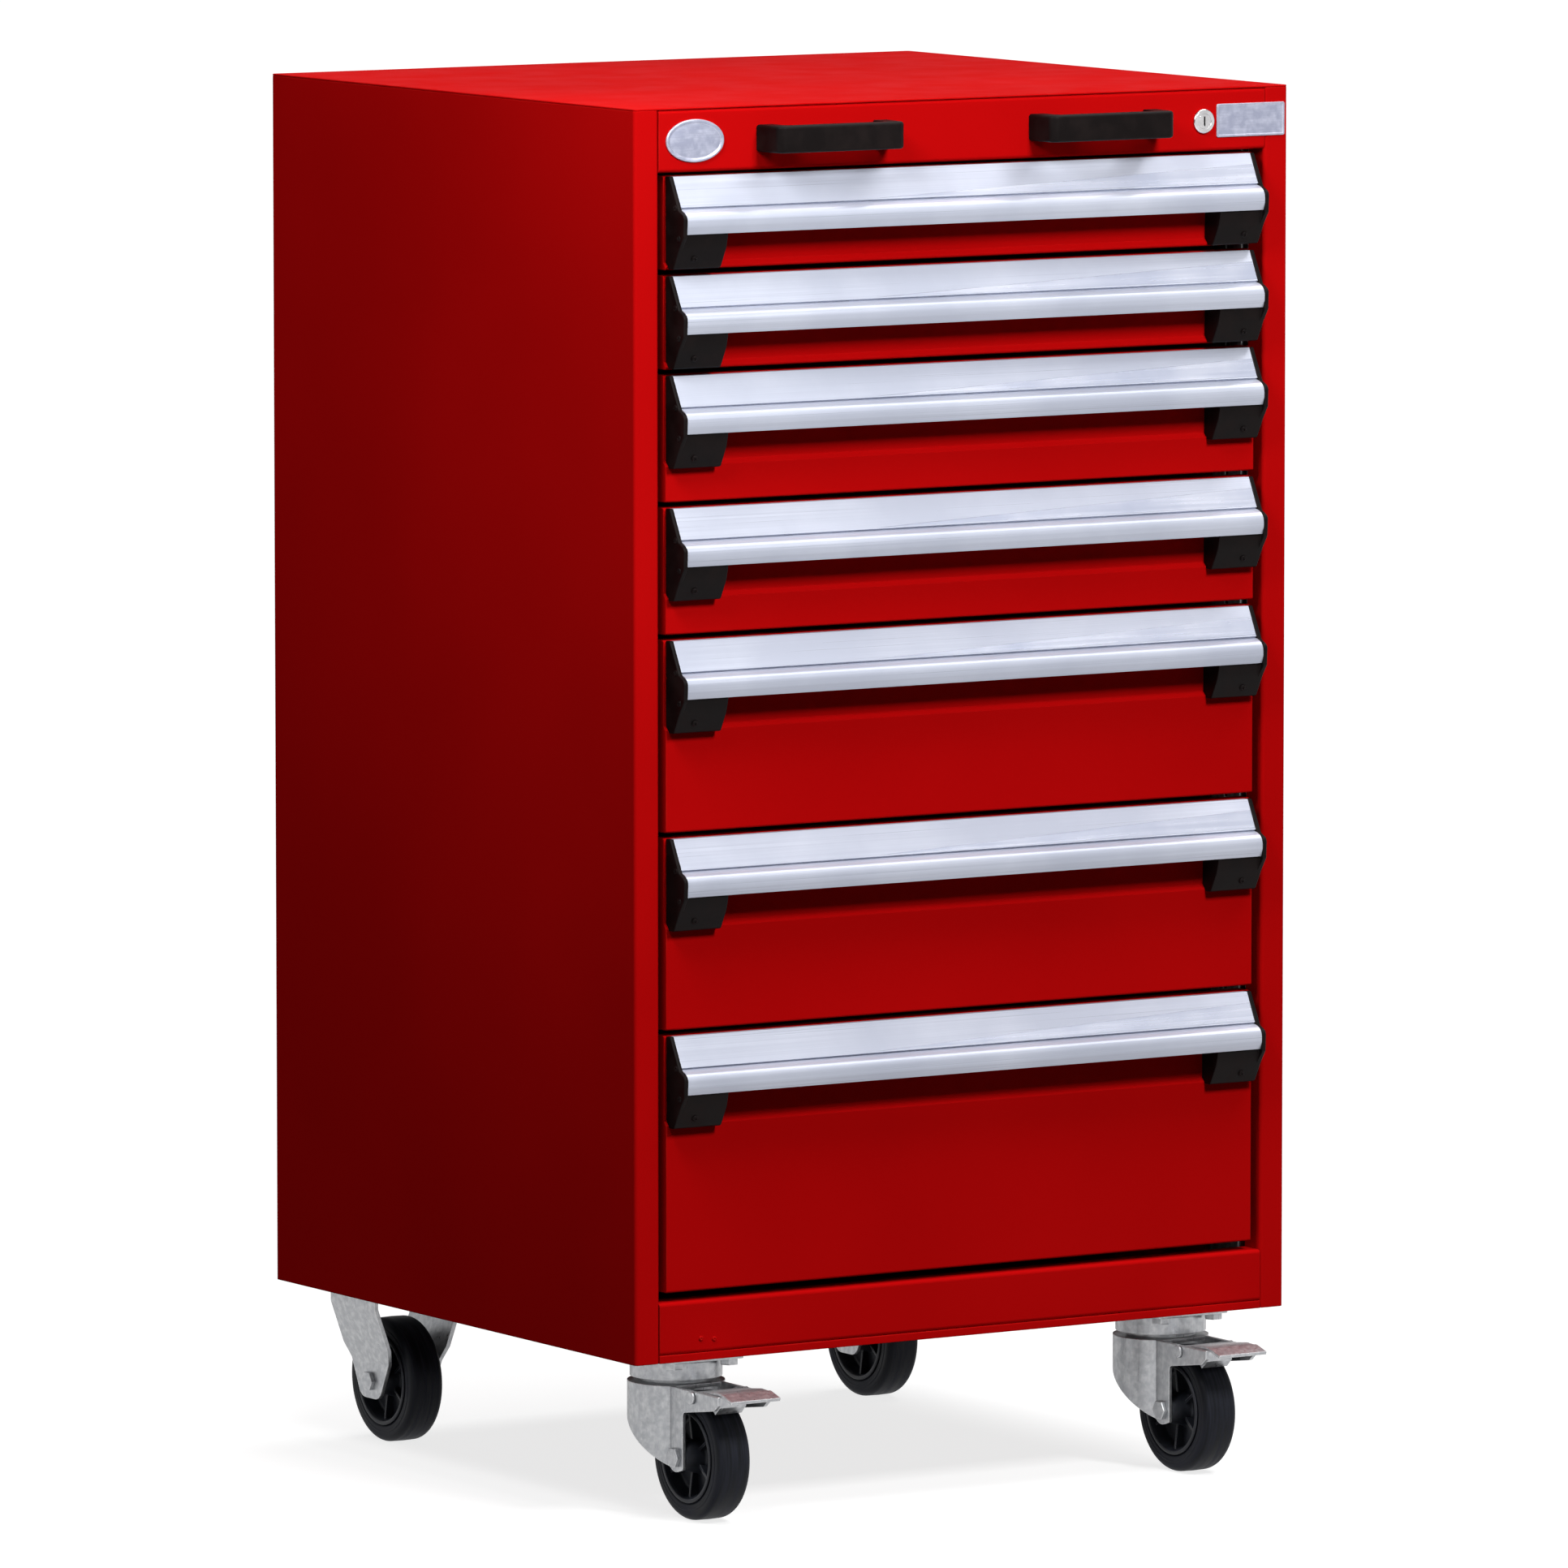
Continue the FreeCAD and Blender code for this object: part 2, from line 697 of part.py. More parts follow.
def drawer_box(number, front_top, front_bottom):
    """One drawer: a folded front, a tray with its side rails, and the catch for the lock bar."""
    body = node(new_body(f"drawer_{number}_box"), f"drawer_{number}_box")
    gauge = dims["drawer_sheet"]
    edge = dims["front_half"]
    pad(body, "YZ_Plane", -edge, edge, front_section(front_top, front_bottom, 0))
    pocket(body, "YZ_Plane", gauge - edge, edge - gauge, front_section(front_top, front_bottom, gauge))
    add_tray(body, front_top, front_bottom)
    middle = front_top - dims["slide_drop"]
    for side in (-1, 1):
        channel(body, side, dims["tray_half"], dims["tray_half"] + 8.5, middle, 2,
                front + dims["slide_start"], dims["slide_length"])
    catch = front + 29.0
    reach = dims["tray_half"] + 10.5
    path = [(reach, catch), (dims["tray_half"], catch), (dims["tray_half"], catch + 18.0)]
    rim = front_top - dims["tray_below_front"]
    pad(body, "XY_Plane", rim - 9.0, rim, folded(path, dims["rail_sheet"], -1))


def add_tray(body, front_top, front_bottom):
    """The tray behind a drawer front: floor and sides in one fold, and the back."""
    gauge = dims["drawer_sheet"]
    edge = dims["tray_half"]
    rim = front_top - dims["tray_below_front"]
    floor = front_bottom + gauge
    start = front + dims["handle_setback"] + gauge / 2
    end = front + dims["tray_length"]
    path = [(-edge, rim), (-edge, floor), (edge, floor), (edge, rim)]
    pad(body, "XZ_Plane", start, end, folded(path, gauge))
    pad(body, "XZ_Plane", end - gauge, end, box_outline(-edge, edge, floor, rim))


def profile_at(front_top, points):
    """Points given as (forward of the housing face, down from the front's top) in the YZ plane."""
    return [(front - point[0], front_top - point[1], *point[2:]) for point in points]


def drawer_handle(number, front_top):
    """The full-width extrusion: sloping label face, groove, and a grip lip over a finger gap."""
    body = node(new_body(f"drawer_{number}_handle"), f"drawer_{number}_handle")
    section = [
        (-5.95, 0.4), (-0.5, 0.4), (12.5, 26.0), (11.3, 27.2), (13.0, 28.4), (21.0, 30.2, 4.5),
        (20.2, 44.0, 1.1), (17.8, 44.0, 1.1), (18.4, 33.0, 2.0), (10.6, 30.9), (9.2, 27.6),
        (-1.7, 2.4), (-3.9, 2.4), (-3.9, 40.0), (-5.95, 40.0),
    ]
    edge = dims["tray_half"]
    pad(body, "YZ_Plane", -edge, edge, profile_at(front_top, section))


def drawer_caps(number, front_top):
    """The two moulded end caps: an end plate with the handle's profile, and a block under its lip."""
    plate = [
        (-5.9, 0.2), (0.0, 0.2), (13.2, 25.6), (21.6, 29.6, 5.0), (20.9, 45.2, 1.5), (14.2, 55.0),
        (5.5, 71.0, 3.0), (-2.3, 71.0), (-2.3, 69.7), (-5.9, 66.1),
    ]
    block = [
        (-5.9, 40.3), (16.9, 40.3, 2.0), (16.6, 46.5), (14.2, 55.0),
        (5.5, 71.0, 3.0), (-2.3, 71.0), (-2.3, 69.7), (-5.9, 66.1),
    ]
    outer = dims["tray_half"] + 3.6
    seam = dims["tray_half"] + 0.1
    inner = dims["tray_half"] - 39.0
    members = []
    for side, name in ((-1, "left"), (1, "right")):
        body = new_body(f"drawer_{number}_cap_{name}")
        near, far = (seam, outer) if side > 0 else (-outer, -seam)
        pad(body, "YZ_Plane", near, far, profile_at(front_top, plate))
        near, far = (inner, seam) if side > 0 else (-seam, -inner)
        pad(body, "YZ_Plane", near, far, profile_at(front_top, block))
        members.append(body)
    group(f"drawer_{number}_caps", members)


def drawer_slides(number, front_top):
    """The pair of intermediate rails, which run between the fixed rails and the drawer's own."""
    middle = front_top - dims["slide_drop"]
    members = []
    for side, name in ((-1, "left"), (1, "right")):
        body = new_body(f"drawer_{number}_slide_{name}")
        channel(body, side, post - 2.0, dims["tray_half"] + 1.0, middle, 1,
                front + RAIL_START + 2.0, dims["slide_length"] + 5.0)
        members.append(body)
    group(f"drawer_{number}_slides", members)


# Casters


def caster_origins():
    """Mounting points of the front and the rear casters, left one first."""
    across = half - dims["caster_inset"]
    return {
        "front": [(side * across, front + dims["front_caster"]) for side in (-1, 1)],
        "rear": [(side * across, front + dims["rear_caster"]) for side in (-1, 1)],
    }


def bolt_centres():
    """Centres of the caster bolts, four to each caster."""
    spread = {"front": (25.0, 37.5), "rear": (22.0, 25.0)}
    centres = []
    for end, origins in caster_origins().items():
        across, along = spread[end]
        for x, y in origins:
            centres += [(x + i * across, y + j * along) for i in (-1, 1) for j in (-1, 1)]
    return centres


def caster_bolts():
    """Hexagon bolts up through the caster plates and the pan, each with its nut."""
    members = []
    seat = -dims["plate_sheet"]
    for number, (x, y) in enumerate(bolt_centres(), start=1):
        body = new_body(f"caster_bolt_{number}")
        place(body, x, y, base)
        gauge = dims["pan_sheet"]
        pad(body, "XY_Plane", seat - 5.3, seat, hexagon(6.5))
        pad_discs(body, "XY_Plane", seat, gauge, [(0, 0)], dims["bolt_radius"])
        pad(body, "XY_Plane", gauge, gauge + 6.5, hexagon(6.5))
        members.append(body)
    group("caster_bolts", members)


def swivel_plates():
    """The mounting plates of the front casters, each with its raceway dome and riveted kingpin."""
    members = []
    seat = -dims["plate_sheet"]
    pin = dims["kingpin_radius"]
    across, along = 33.5, 47.5
    rim = 4.0
    dome = [
        (0, seat), (34.0, seat), (36.0, seat - 2.5), (36.0, -20.0), (28.0, -20.0), (28.0, -16.0),
        (pin, -16.0), (pin, -26.9), (9.5, -26.9), (9.5, -29.5), (7.5, -30.8), (0, -30.8),
    ]
    for name, (x, y) in zip(("left", "right"), caster_origins()["front"]):
        body = new_body(f"swivel_plate_{name}")
        place(body, x, y, base)
        corners = [(-across, -along, rim), (across, -along, rim), (across, along, rim), (-across, along, rim)]
        pad(body, "XY_Plane", seat, 0, corners)
        holes = [(i * 25.0, j * 37.5) for i in (-1, 1) for j in (-1, 1)]
        drill(body, "XY_Plane", seat, 0, holes, dims["bolt_radius"])
        revolve(body, "XZ_Plane", "V_Axis", dome)
        members.append(body)
    group("swivel_plates", members)


def fork(name, x, y):
    """A swivel fork: a skirt round the kingpin, two legs down to the axle, and the brake cheeks."""
    body = node(new_body(f"fork_{name}"), f"fork_{name}")
    place(body, x, y, base)
    crown_top = -23.5
    crown = crown_top - dims["fork_sheet"]
    lowest = -96.0
    radius = dims["fork_radius"]
    wide = dims["fork_half"]
    clear = wide - dims["fork_sheet"]
    cheek = -dims["trail"] - 62.0
    axle = (-dims["trail"], -dims["axle_drop"])
    pad_discs(body, "XY_Plane", lowest, crown_top, [(0, 0)], radius)
    pad(body, "XY_Plane", lowest, crown_top, box_outline(-wide, wide, cheek, 0))
    drill(body, "XY_Plane", lowest, crown, [(0, 0)], radius - dims["fork_sheet"])
    pocket(body, "XY_Plane", lowest, crown, box_outline(-clear, clear, cheek - 1, 0))
    pocket(body, "XY_Plane", crown, crown_top, box_outline(-clear, clear, cheek - 1, -32.0))
    pad_discs(body, "XY_Plane", crown_top, -16.7, [(0, 0)], 27.4)
    drill(body, "XY_Plane", crown, -16.7, [(0, 0)], dims["kingpin_radius"] + dims["running_fit"])
    below = lowest - 1
    outside = radius + 1
    trim = [
        (outside, -45.0), (radius - 0.5, -45.0, 4.0), (25.0, -64.0, 30.0),
        (-27.0, -94.0, 12.0), (-48.0, -93.0, 9.0), (-48.0, -42.0, 4.0), (cheek + 6.0, -35.0, 4.0),
        (cheek, -30.0), (cheek - 1, -30.0), (cheek - 1, below), (outside, below),
    ]
    pocket(body, "YZ_Plane", -outside, outside, trim)
    drill(body, "YZ_Plane", -wide, wide, [axle], dims["axle_radius"])
    drill(body, "YZ_Plane", -wide, wide, [PEDAL_PIVOT], PEDAL_PIN + dims["running_fit"])


def axle_bolt(label, x, y, half_length):
    """An axle bolt with its low head and its nut."""
    body = new_body(label)
    place(body, x, y, base - dims["axle_drop"])
    pad_discs(body, "YZ_Plane", -half_length, half_length, [(0, 0)], dims["axle_radius"])
    pad(body, "YZ_Plane", -half_length - 3.5, -half_length, hexagon(7.0))
    pad(body, "YZ_Plane", half_length, half_length + 5.0, hexagon(7.0))
    return body


def wheel_hub(label, x, y):
    """A moulded wheel centre: boss, thin web and rim."""
    body = node(new_body(label), label)
    place(body, x, y, base - dims["axle_drop"])
    bore = dims["axle_radius"] + dims["running_fit"]
    boss = 20.5
    rim = dims["rim_radius"]
    edge = dims["wheel_width"] / 2 - 2.0
    half_section = [
        (boss, bore), (boss, 10.5), (6.0, 13.5), (4.0, rim - 7.0), (edge - 2.0, rim - 4.5), (edge, rim),
    ]
    mirrored = [(-along, across) for along, across in half_section]
    revolve(body, "XY_Plane", "H_Axis", half_section + mirrored[::-1])


def tyre(label, x, y):
    """A solid rubber tyre with rounded shoulders and a flat tread."""
    body = node(new_body(label), label)
    place(body, x, y, base - dims["axle_drop"])
    tread = dims["wheel_radius"]
    side = dims["wheel_width"] / 2
    rim = dims["rim_radius"]
    revolve(body, "XY_Plane", "H_Axis", [
        (-side + 2.0, rim), (-side, rim + 2.5), (-side, tread, 5.0),
        (side, tread, 5.0), (side, rim + 2.5), (side - 2.0, rim),
    ])


def brake_pedal(name, x, y):
    """A brake lever on a pin through the cheeks: a bent tab to step on, and a shoe over the tyre."""
    body = node(new_body(f"brake_pedal_{name}"), f"brake_pedal_{name}")
    place(body, x, y, base)
    inside = dims["fork_half"] - dims["fork_sheet"] - 0.5
    outside = dims["fork_half"] + 0.4
    plate = [(-54.0, -25.5), (-92.0, -20.8), (-104.0, -21.4), (-117.0, -25.2)]
    wide_plate = [(-101.5, -21.3), (-104.0, -21.4), (-117.0, -25.2)]
    pad(body, "YZ_Plane", -inside, inside, folded(plate, 2.5))
    pad(body, "YZ_Plane", -inside - 1.6, inside + 1.6, folded(wide_plate, 2.5))
    shoe = [(-86.0, -22.5), (-83.0, -35.0), (-76.6, -41.0), (-69.4, -34.9), (-70.0, -24.5)]
    pad(body, "YZ_Plane", -12.0, 12.0, shoe)
    ear = [(-54.5, -25.0), (-88.0, -21.5), (-80.0, -32.0), (-64.0, -34.2, 4.0), (-56.0, -33.0, 3.0)]
    for side in (-1, 1):
        near = inside - 2.0 if side > 0 else -inside
        pad(body, "YZ_Plane", near, near + 2.0, ear)
    pad_discs(body, "YZ_Plane", -outside, outside, [PEDAL_PIVOT], PEDAL_PIN)
    for side in (-1, 1):
        near = outside if side > 0 else -outside - 1.6
        pad_discs(body, "YZ_Plane", near, near + 1.6, [PEDAL_PIVOT], PEDAL_PIN + 2.0)


def rigid_brackets():
    """The rear casters' brackets: a plate whose two sides are drawn down to the axle."""
    members = []
    gauge = 3.5
    leg = 25.0
    shoulder = 41.0
    reach = 34.5
    foot = -92.0
    path = [(-leg, foot - 2), (-leg, -62.0), (-shoulder, -16.0), (-shoulder, 0),
            (shoulder, 0), (shoulder, -16.0), (leg, -62.0), (leg, foot - 2)]
    for name, (x, y) in zip(("left", "right"), caster_origins()["rear"]):
        body = new_body(f"rigid_bracket_{name}")
        place(body, x, y, base)
        pad(body, "XZ_Plane", -reach, reach, folded(path, gauge, -1, 6.0))
        holes = [(i * 22.0, j * 25.0) for i in (-1, 1) for j in (-1, 1)]
        drill(body, "XY_Plane", -gauge, 0, holes, dims["bolt_radius"])
        for side in (-1, 1):
            trim = [(side * (reach + 1), -48.0), (side * 14.0, foot, 11.0), (0, foot), (0, foot - 3),
                    (side * (reach + 1), foot - 3)]
            pocket(body, "YZ_Plane", -shoulder - 1, shoulder + 1, trim)
        drill(body, "YZ_Plane", -leg, leg, [(0, -dims["axle_drop"])], dims["axle_radius"])
        members.append(body)
    group("rigid_brackets", members)


def build_casters():
    """All four casters."""
    origins = caster_origins()
    swivel_plates()
    for name, (x, y) in zip(("left", "right"), origins["front"]):
        wheel_y = y - dims["trail"]
        fork(name, x, y)
        label = f"front_axle_{name}"
        node(axle_bolt(label, x, wheel_y, dims["fork_half"]), label)
        wheel_hub(f"front_hub_{name}", x, wheel_y)
        tyre(f"front_tyre_{name}", x, wheel_y)
        brake_pedal(name, x, y)
    rigid_brackets()
    rear_axles = []
    for name, (x, y) in zip(("left", "right"), origins["rear"]):
        rear_axles.append(axle_bolt(f"rear_axle_{name}", x, y, size(25.0)))
        wheel_hub(f"rear_hub_{name}", x, y)
        tyre(f"rear_tyre_{name}", x, y)
    group("rear_axles", rear_axles)
    caster_bolts()


def build_housing():
    """The fixed shell, the lock and what they carry."""
    side_panel("side_panel_left", -1)
    side_panel("side_panel_right", 1)
    back_panel()
    top_panel()
    base_pan()
    top_rail()
    bottom_rail()
    slotted_uprights()
    fixed_rails()
    pull_handles()
    lock_body()
    lock_nut()
    lock_plug()
    lock_bar()


def build_drawers():
    """The seven drawers with their handles, end caps and intermediate rails."""
    for number, (front_top, front_bottom) in enumerate(drawer_levels(), start=1):
        drawer_box(number, front_top, front_bottom)
        drawer_handle(number, front_top)
        drawer_caps(number, front_top)
        drawer_slides(number, front_top)


def check_objects():
    """Stop on a failed object, a cut that removed nothing, or a piece without a valid shape."""
    for item in document.Objects:
        if "Invalid" in item.State or "Error" in item.State:
            raise RuntimeError(f"{item.Label} failed: {item.State}")
        if item.TypeId == "PartDesign::Pocket" and item.Shape.Volume > item.BaseFeature.Shape.Volume - 0.1:
            raise RuntimeError(f"{item.Label} cut nothing")
        if item.TypeId == "PartDesign::Body" and len(item.Shape.Solids) != 1:
            raise RuntimeError(f"{item.Label} isn't one solid")
    for item in nodes:
        if item.Shape.isNull() or not item.Shape.isValid() or item.Shape.Volume <= 0:
            raise RuntimeError(f"{item.Label} has no valid shape")


def write_pieces():
    """Write each piece to its own file, and print its volume and its number of solids."""
    os.makedirs("parts", exist_ok=True)
    for item in nodes:
        item.Shape.exportStep(f"parts/{item.Label}.step")
        print(f"{item.Label}: {len(item.Shape.Solids)} solids, {item.Shape.Volume / 1000:.1f} cm3")
    print(f"{len(nodes)} nodes")


build_housing()
build_drawers()
build_casters()
document.recompute()
check_objects()
write_pieces()
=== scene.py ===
"""Looks of a red mobile drawer cabinet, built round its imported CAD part.

The sheet metal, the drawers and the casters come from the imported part. This script softens their
edges, trims the legs of the front forks and gives each piece a worked finish. It rebuilds the drawer
handles and the wheels in finer detail, and adds what the part leaves out: the bare badge, the bare
label plate, the label strips, the screws and the rivets. Lengths are in metres, in the frame of the
part: x to the right, y to the back, z up, with the floor at zero.
"""

import json
import logging
import math
from collections.abc import Callable
from dataclasses import dataclass
from enum import Enum

import bmesh
import bpy
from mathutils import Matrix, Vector

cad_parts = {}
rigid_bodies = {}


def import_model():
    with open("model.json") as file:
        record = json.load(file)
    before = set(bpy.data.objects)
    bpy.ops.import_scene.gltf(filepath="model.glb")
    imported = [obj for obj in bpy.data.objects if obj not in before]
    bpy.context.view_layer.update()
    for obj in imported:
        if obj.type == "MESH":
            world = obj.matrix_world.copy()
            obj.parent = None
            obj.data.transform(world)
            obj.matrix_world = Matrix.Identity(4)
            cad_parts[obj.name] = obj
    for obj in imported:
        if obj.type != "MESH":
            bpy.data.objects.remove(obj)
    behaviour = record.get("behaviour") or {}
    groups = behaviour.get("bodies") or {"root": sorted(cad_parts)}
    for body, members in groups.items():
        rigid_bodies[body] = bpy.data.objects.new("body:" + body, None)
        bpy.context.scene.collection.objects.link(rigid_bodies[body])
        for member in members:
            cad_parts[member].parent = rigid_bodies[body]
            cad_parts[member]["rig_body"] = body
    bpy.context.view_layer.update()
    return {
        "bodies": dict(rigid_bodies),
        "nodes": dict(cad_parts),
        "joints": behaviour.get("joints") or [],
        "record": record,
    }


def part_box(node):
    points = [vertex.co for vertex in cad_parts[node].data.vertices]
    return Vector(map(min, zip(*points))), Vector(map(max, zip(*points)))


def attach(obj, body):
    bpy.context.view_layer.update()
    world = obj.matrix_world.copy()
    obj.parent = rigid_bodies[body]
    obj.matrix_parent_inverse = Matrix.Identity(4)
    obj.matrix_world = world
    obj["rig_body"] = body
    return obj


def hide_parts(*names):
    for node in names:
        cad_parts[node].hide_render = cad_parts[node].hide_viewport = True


log = logging.getLogger("drawer_cabinet")

MM = 0.001
SHARP_ANGLE = math.radians(32.0)

Colour = tuple[float, float, float, float]
Point = tuple[float, ...]
Socket = bpy.types.NodeSocket
Thing = bpy.types.Object
Material = bpy.types.Material
Finishes = dict["Slot", Material]


def tone(red: float, green: float, blue: float) -> Colour:
    """Give a linear colour as the four numbers that a colour socket takes.

    Args:
        red: Its red, from zero to one.
        green: Its green.
        blue: Its blue.

    Returns:
        The colour, opaque.
    """
    return (red, green, blue, 1.0)


# Finishes


WHOLE: Point = (0.0, 1.0)
# How far the rounded normal agrees with the plain one, off an edge and on it.
BENT_NORMAL: Point = (0.99, 0.8)


class Slot(Enum):
    """The part's material slots."""

    RED_PAINT = "red_paint"
    ZINC = "zinc_steel"
    ANODISED = "anodised_aluminium"
    BLACK_PLASTIC = "black_plastic"
    CHROME = "chrome_lock"
    HUB_PLASTIC = "hub_plastic"
    RUBBER = "tyre_rubber"


class NodeTree:
    """A node tree under construction."""

    def __init__(self, tree: bpy.types.NodeTree) -> None:
        """Start on a tree.

        Args:
            tree: The tree.
        """
        self.tree = tree

    def feed(self, target: Socket, value: object) -> None:
        """Feed an input with another node's output or with a plain value.

        Args:
            target: The input.
            value: An output socket, or a number, vector or colour.
        """
        if isinstance(value, Socket):
            self.tree.links.new(value, target)
        else:
            target.default_value = value

    def node(
        self, kind: str, inputs: dict[object, object] | None = None, **settings: object,
    ) -> bpy.types.Node:
        """Add a node and feed its inputs.

        Args:
            kind: The node's type name.
            inputs: Values or sources by the inputs' names or places.
            settings: Values for the node's own properties.

        Returns:
            The new node.
        """
        made = self.tree.nodes.new(kind)
        for key, value in settings.items():
            setattr(made, key, value)
        for key, value in (inputs or {}).items():
            self.feed(made.inputs[key], value)
        return made


class Shader(NodeTree):
    """A material under construction, with a principled shader as its surface."""

    def __init__(self, name: str) -> None:
        """Start a material.

        Args:
            name: The material's name.
        """
        self.material = bpy.data.materials.new(name)
        self.material.use_nodes = True
        super().__init__(self.material.node_tree)
        self.surface = self.tree.nodes["Principled BSDF"]
        self.place = self.node("ShaderNodeTexCoord").outputs["Object"]

    def set(self, **sockets: object) -> None:
        """Feed the shader's inputs, named in lower case with underscores for spaces.

        Args:
            sockets: Each input's value or source.
        """
        names = {socket.name.lower().replace(" ", "_"): socket for socket in self.surface.inputs}
        for name, value in sockets.items():
            self.feed(names[name], value)

    def stretched(self, scale: Point) -> Socket:
        """Stretch a pattern along the axes.

        Args:
            scale: How often the pattern repeats along each axis.

        Returns:
            The mapped coordinates.
        """
        return self.node("ShaderNodeMapping", {"Vector": self.place, "Scale": scale}).outputs["Vector"]

    def noise(self, scale: float, detail: float = 2.0, vector: Socket | None = None) -> Socket:
        """Add a soft random pattern.

        Args:
            scale: How often it repeats in a metre.
            detail: How many finer layers it has.
            vector: Coordinates, if not the object's own.

        Returns:
            A value round one half.
        """
        inputs = {"Vector": vector or self.place, "Scale": scale, "Detail": detail}
        return self.node("ShaderNodeTexNoise", inputs).outputs[0]

    def ranged(self, value: Socket, source: Point, target: Point) -> Socket:
        """Carry a value from one range to another, held at the ends.

        Args:
            value: The value.
            source: The range that it has.
            target: The range that it gets.

        Returns:
            The new value.
        """
        return self.node("ShaderNodeMapRange", dict(enumerate((value, *source, *target)))).outputs[0]

    def combined(self, operation: str, first: object, second: object) -> Socket:
        """Join two values by arithmetic.

        Args:
            operation: The math node's operation.
            first: A value or an output.
            second: A value or an output.

        Returns:
            The result.
        """
        return self.node("ShaderNodeMath", {0: first, 1: second}, operation=operation).outputs[0]

    def mixed(self, factor: Socket, first: object, second: object) -> Socket:
        """Mix two colours.

        Args:
            factor: Zero for the first, one for the second.
            first: A colour or an output.
            second: A colour or an output.

        Returns:
            The mixed colour.
        """
        return self.node("ShaderNodeMix", {0: factor, 6: first, 7: second}, data_type="RGBA").outputs[2]

    def edges(self, radius: float, samples: int = 4) -> tuple[Socket, Socket]:
        """Find the piece's edges.

        Args:
            radius: How far from an edge the effect reaches.
            samples: How many rays look for the edge.

        Returns:
            A value that is one on an edge and zero off it, and the rounded normal.
        """
        bevel = self.node("ShaderNodeBevel", {"Radius": radius}, samples=samples)
        plain = self.node("ShaderNodeNewGeometry").outputs["Normal"]
        facing = self.node("ShaderNodeVectorMath", {0: bevel.outputs[0], 1: plain}, operation="DOT_PRODUCT")
        return self.ranged(facing.outputs["Value"], BENT_NORMAL, WHOLE), bevel.outputs[0]

    def bump(self, height: Socket, depth: float, normal: Socket) -> Socket:
        """Turn a height pattern into a normal.

        Args:
            height: The pattern.
            depth: How deep it is.
            normal: The normal that it is laid on.

        Returns:
            The new normal.
        """
        inputs = {"Strength": 1.0, "Distance": depth, "Height": height, "Normal": normal}
        return self.node("ShaderNodeBump", inputs).outputs[0]


@dataclass(frozen=True)
class PaintFinish:
    """Satin powder coat: fine orange peel, slow changes of shade, and lighter edges, partly rubbed wear and
    partly a painted highlight.
    """

    name: str = "red_powder_coat"
    shade: Colour = tone(0.55, 0.0030, 0.0034)
    deep: Colour = tone(0.48, 0.0022, 0.0027)
    # Lighter red for the edges: partly worn paint, partly a painted highlight.
    edge_wear_and_highlight: Colour = tone(0.74, 0.028, 0.020)
    peel_scale: float = 650.0
    peel_depth: float = 0.00006
    edge: float = 0.0011
    sheen: float = 0.0006

    def material(self) -> Material:
        """Build the paint.

        Returns:
            The material.
        """
        shader = Shader(self.name)
        cloud = shader.ranged(shader.noise(2.6, 3.0), (0.35, 0.65), WHOLE)
        grain = shader.noise(self.peel_scale, 2.0)
        edge, rounded_normal = shader.edges(self.edge)
        patchy = shader.ranged(shader.noise(34.0, 4.0), (0.40, 0.66), (0.15, 0.9))
        # Lighter red on the edges, broken up by patches: partly rubbed wear, partly a painted highlight.
        edge_wear_and_highlight_mask = shader.combined("MULTIPLY", edge, patchy)
        body = shader.mixed(cloud, self.deep, self.shade)
        shader.set(
            base_color=shader.mixed(edge_wear_and_highlight_mask, body, self.edge_wear_and_highlight),
            roughness=shader.ranged(shader.noise(21.0, 5.0), (0.3, 0.7), (0.40, 0.52)),
            normal=shader.bump(grain, self.peel_depth, rounded_normal),
            specular_ior_level=self.sheen,
        )
        return shader.material


@dataclass(frozen=True)
class MetalFinish:
    """Worked metal: drawn lines along one axis, clouded shade, and edges painted lighter as a painted
    highlight.
    """

    name: str
    shade: Colour
    deep: Colour
    bright: Colour
    metallic: float
    roughness: Point
    lines: Point
    line_depth: float
    cloud_scale: float
    edge: float

    def material(self) -> Material:
        """Build the metal.

        Returns:
            The material.
        """
        shader = Shader(self.name)
        drawn = shader.noise(1.0, 4.0, shader.stretched(self.lines))
        cloud = shader.noise(self.cloud_scale, 5.0)
        mottle = shader.ranged(cloud, (0.32, 0.68), WHOLE)
        edge, rounded_normal = shader.edges(self.edge)
        both = shader.combined("MULTIPLY", drawn, mottle)
        body = shader.mixed(shader.ranged(both, (0.1, 0.6), WHOLE), self.deep, self.shade)
        shader.set(
            # The edges get a lighter colour: a painted highlight.
            base_color=shader.mixed(edge, body, self.bright),
            metallic=self.metallic,
            roughness=shader.ranged(drawn, (0.25, 0.75), self.roughness),
            normal=shader.bump(drawn, self.line_depth, rounded_normal),
        )
        return shader.material


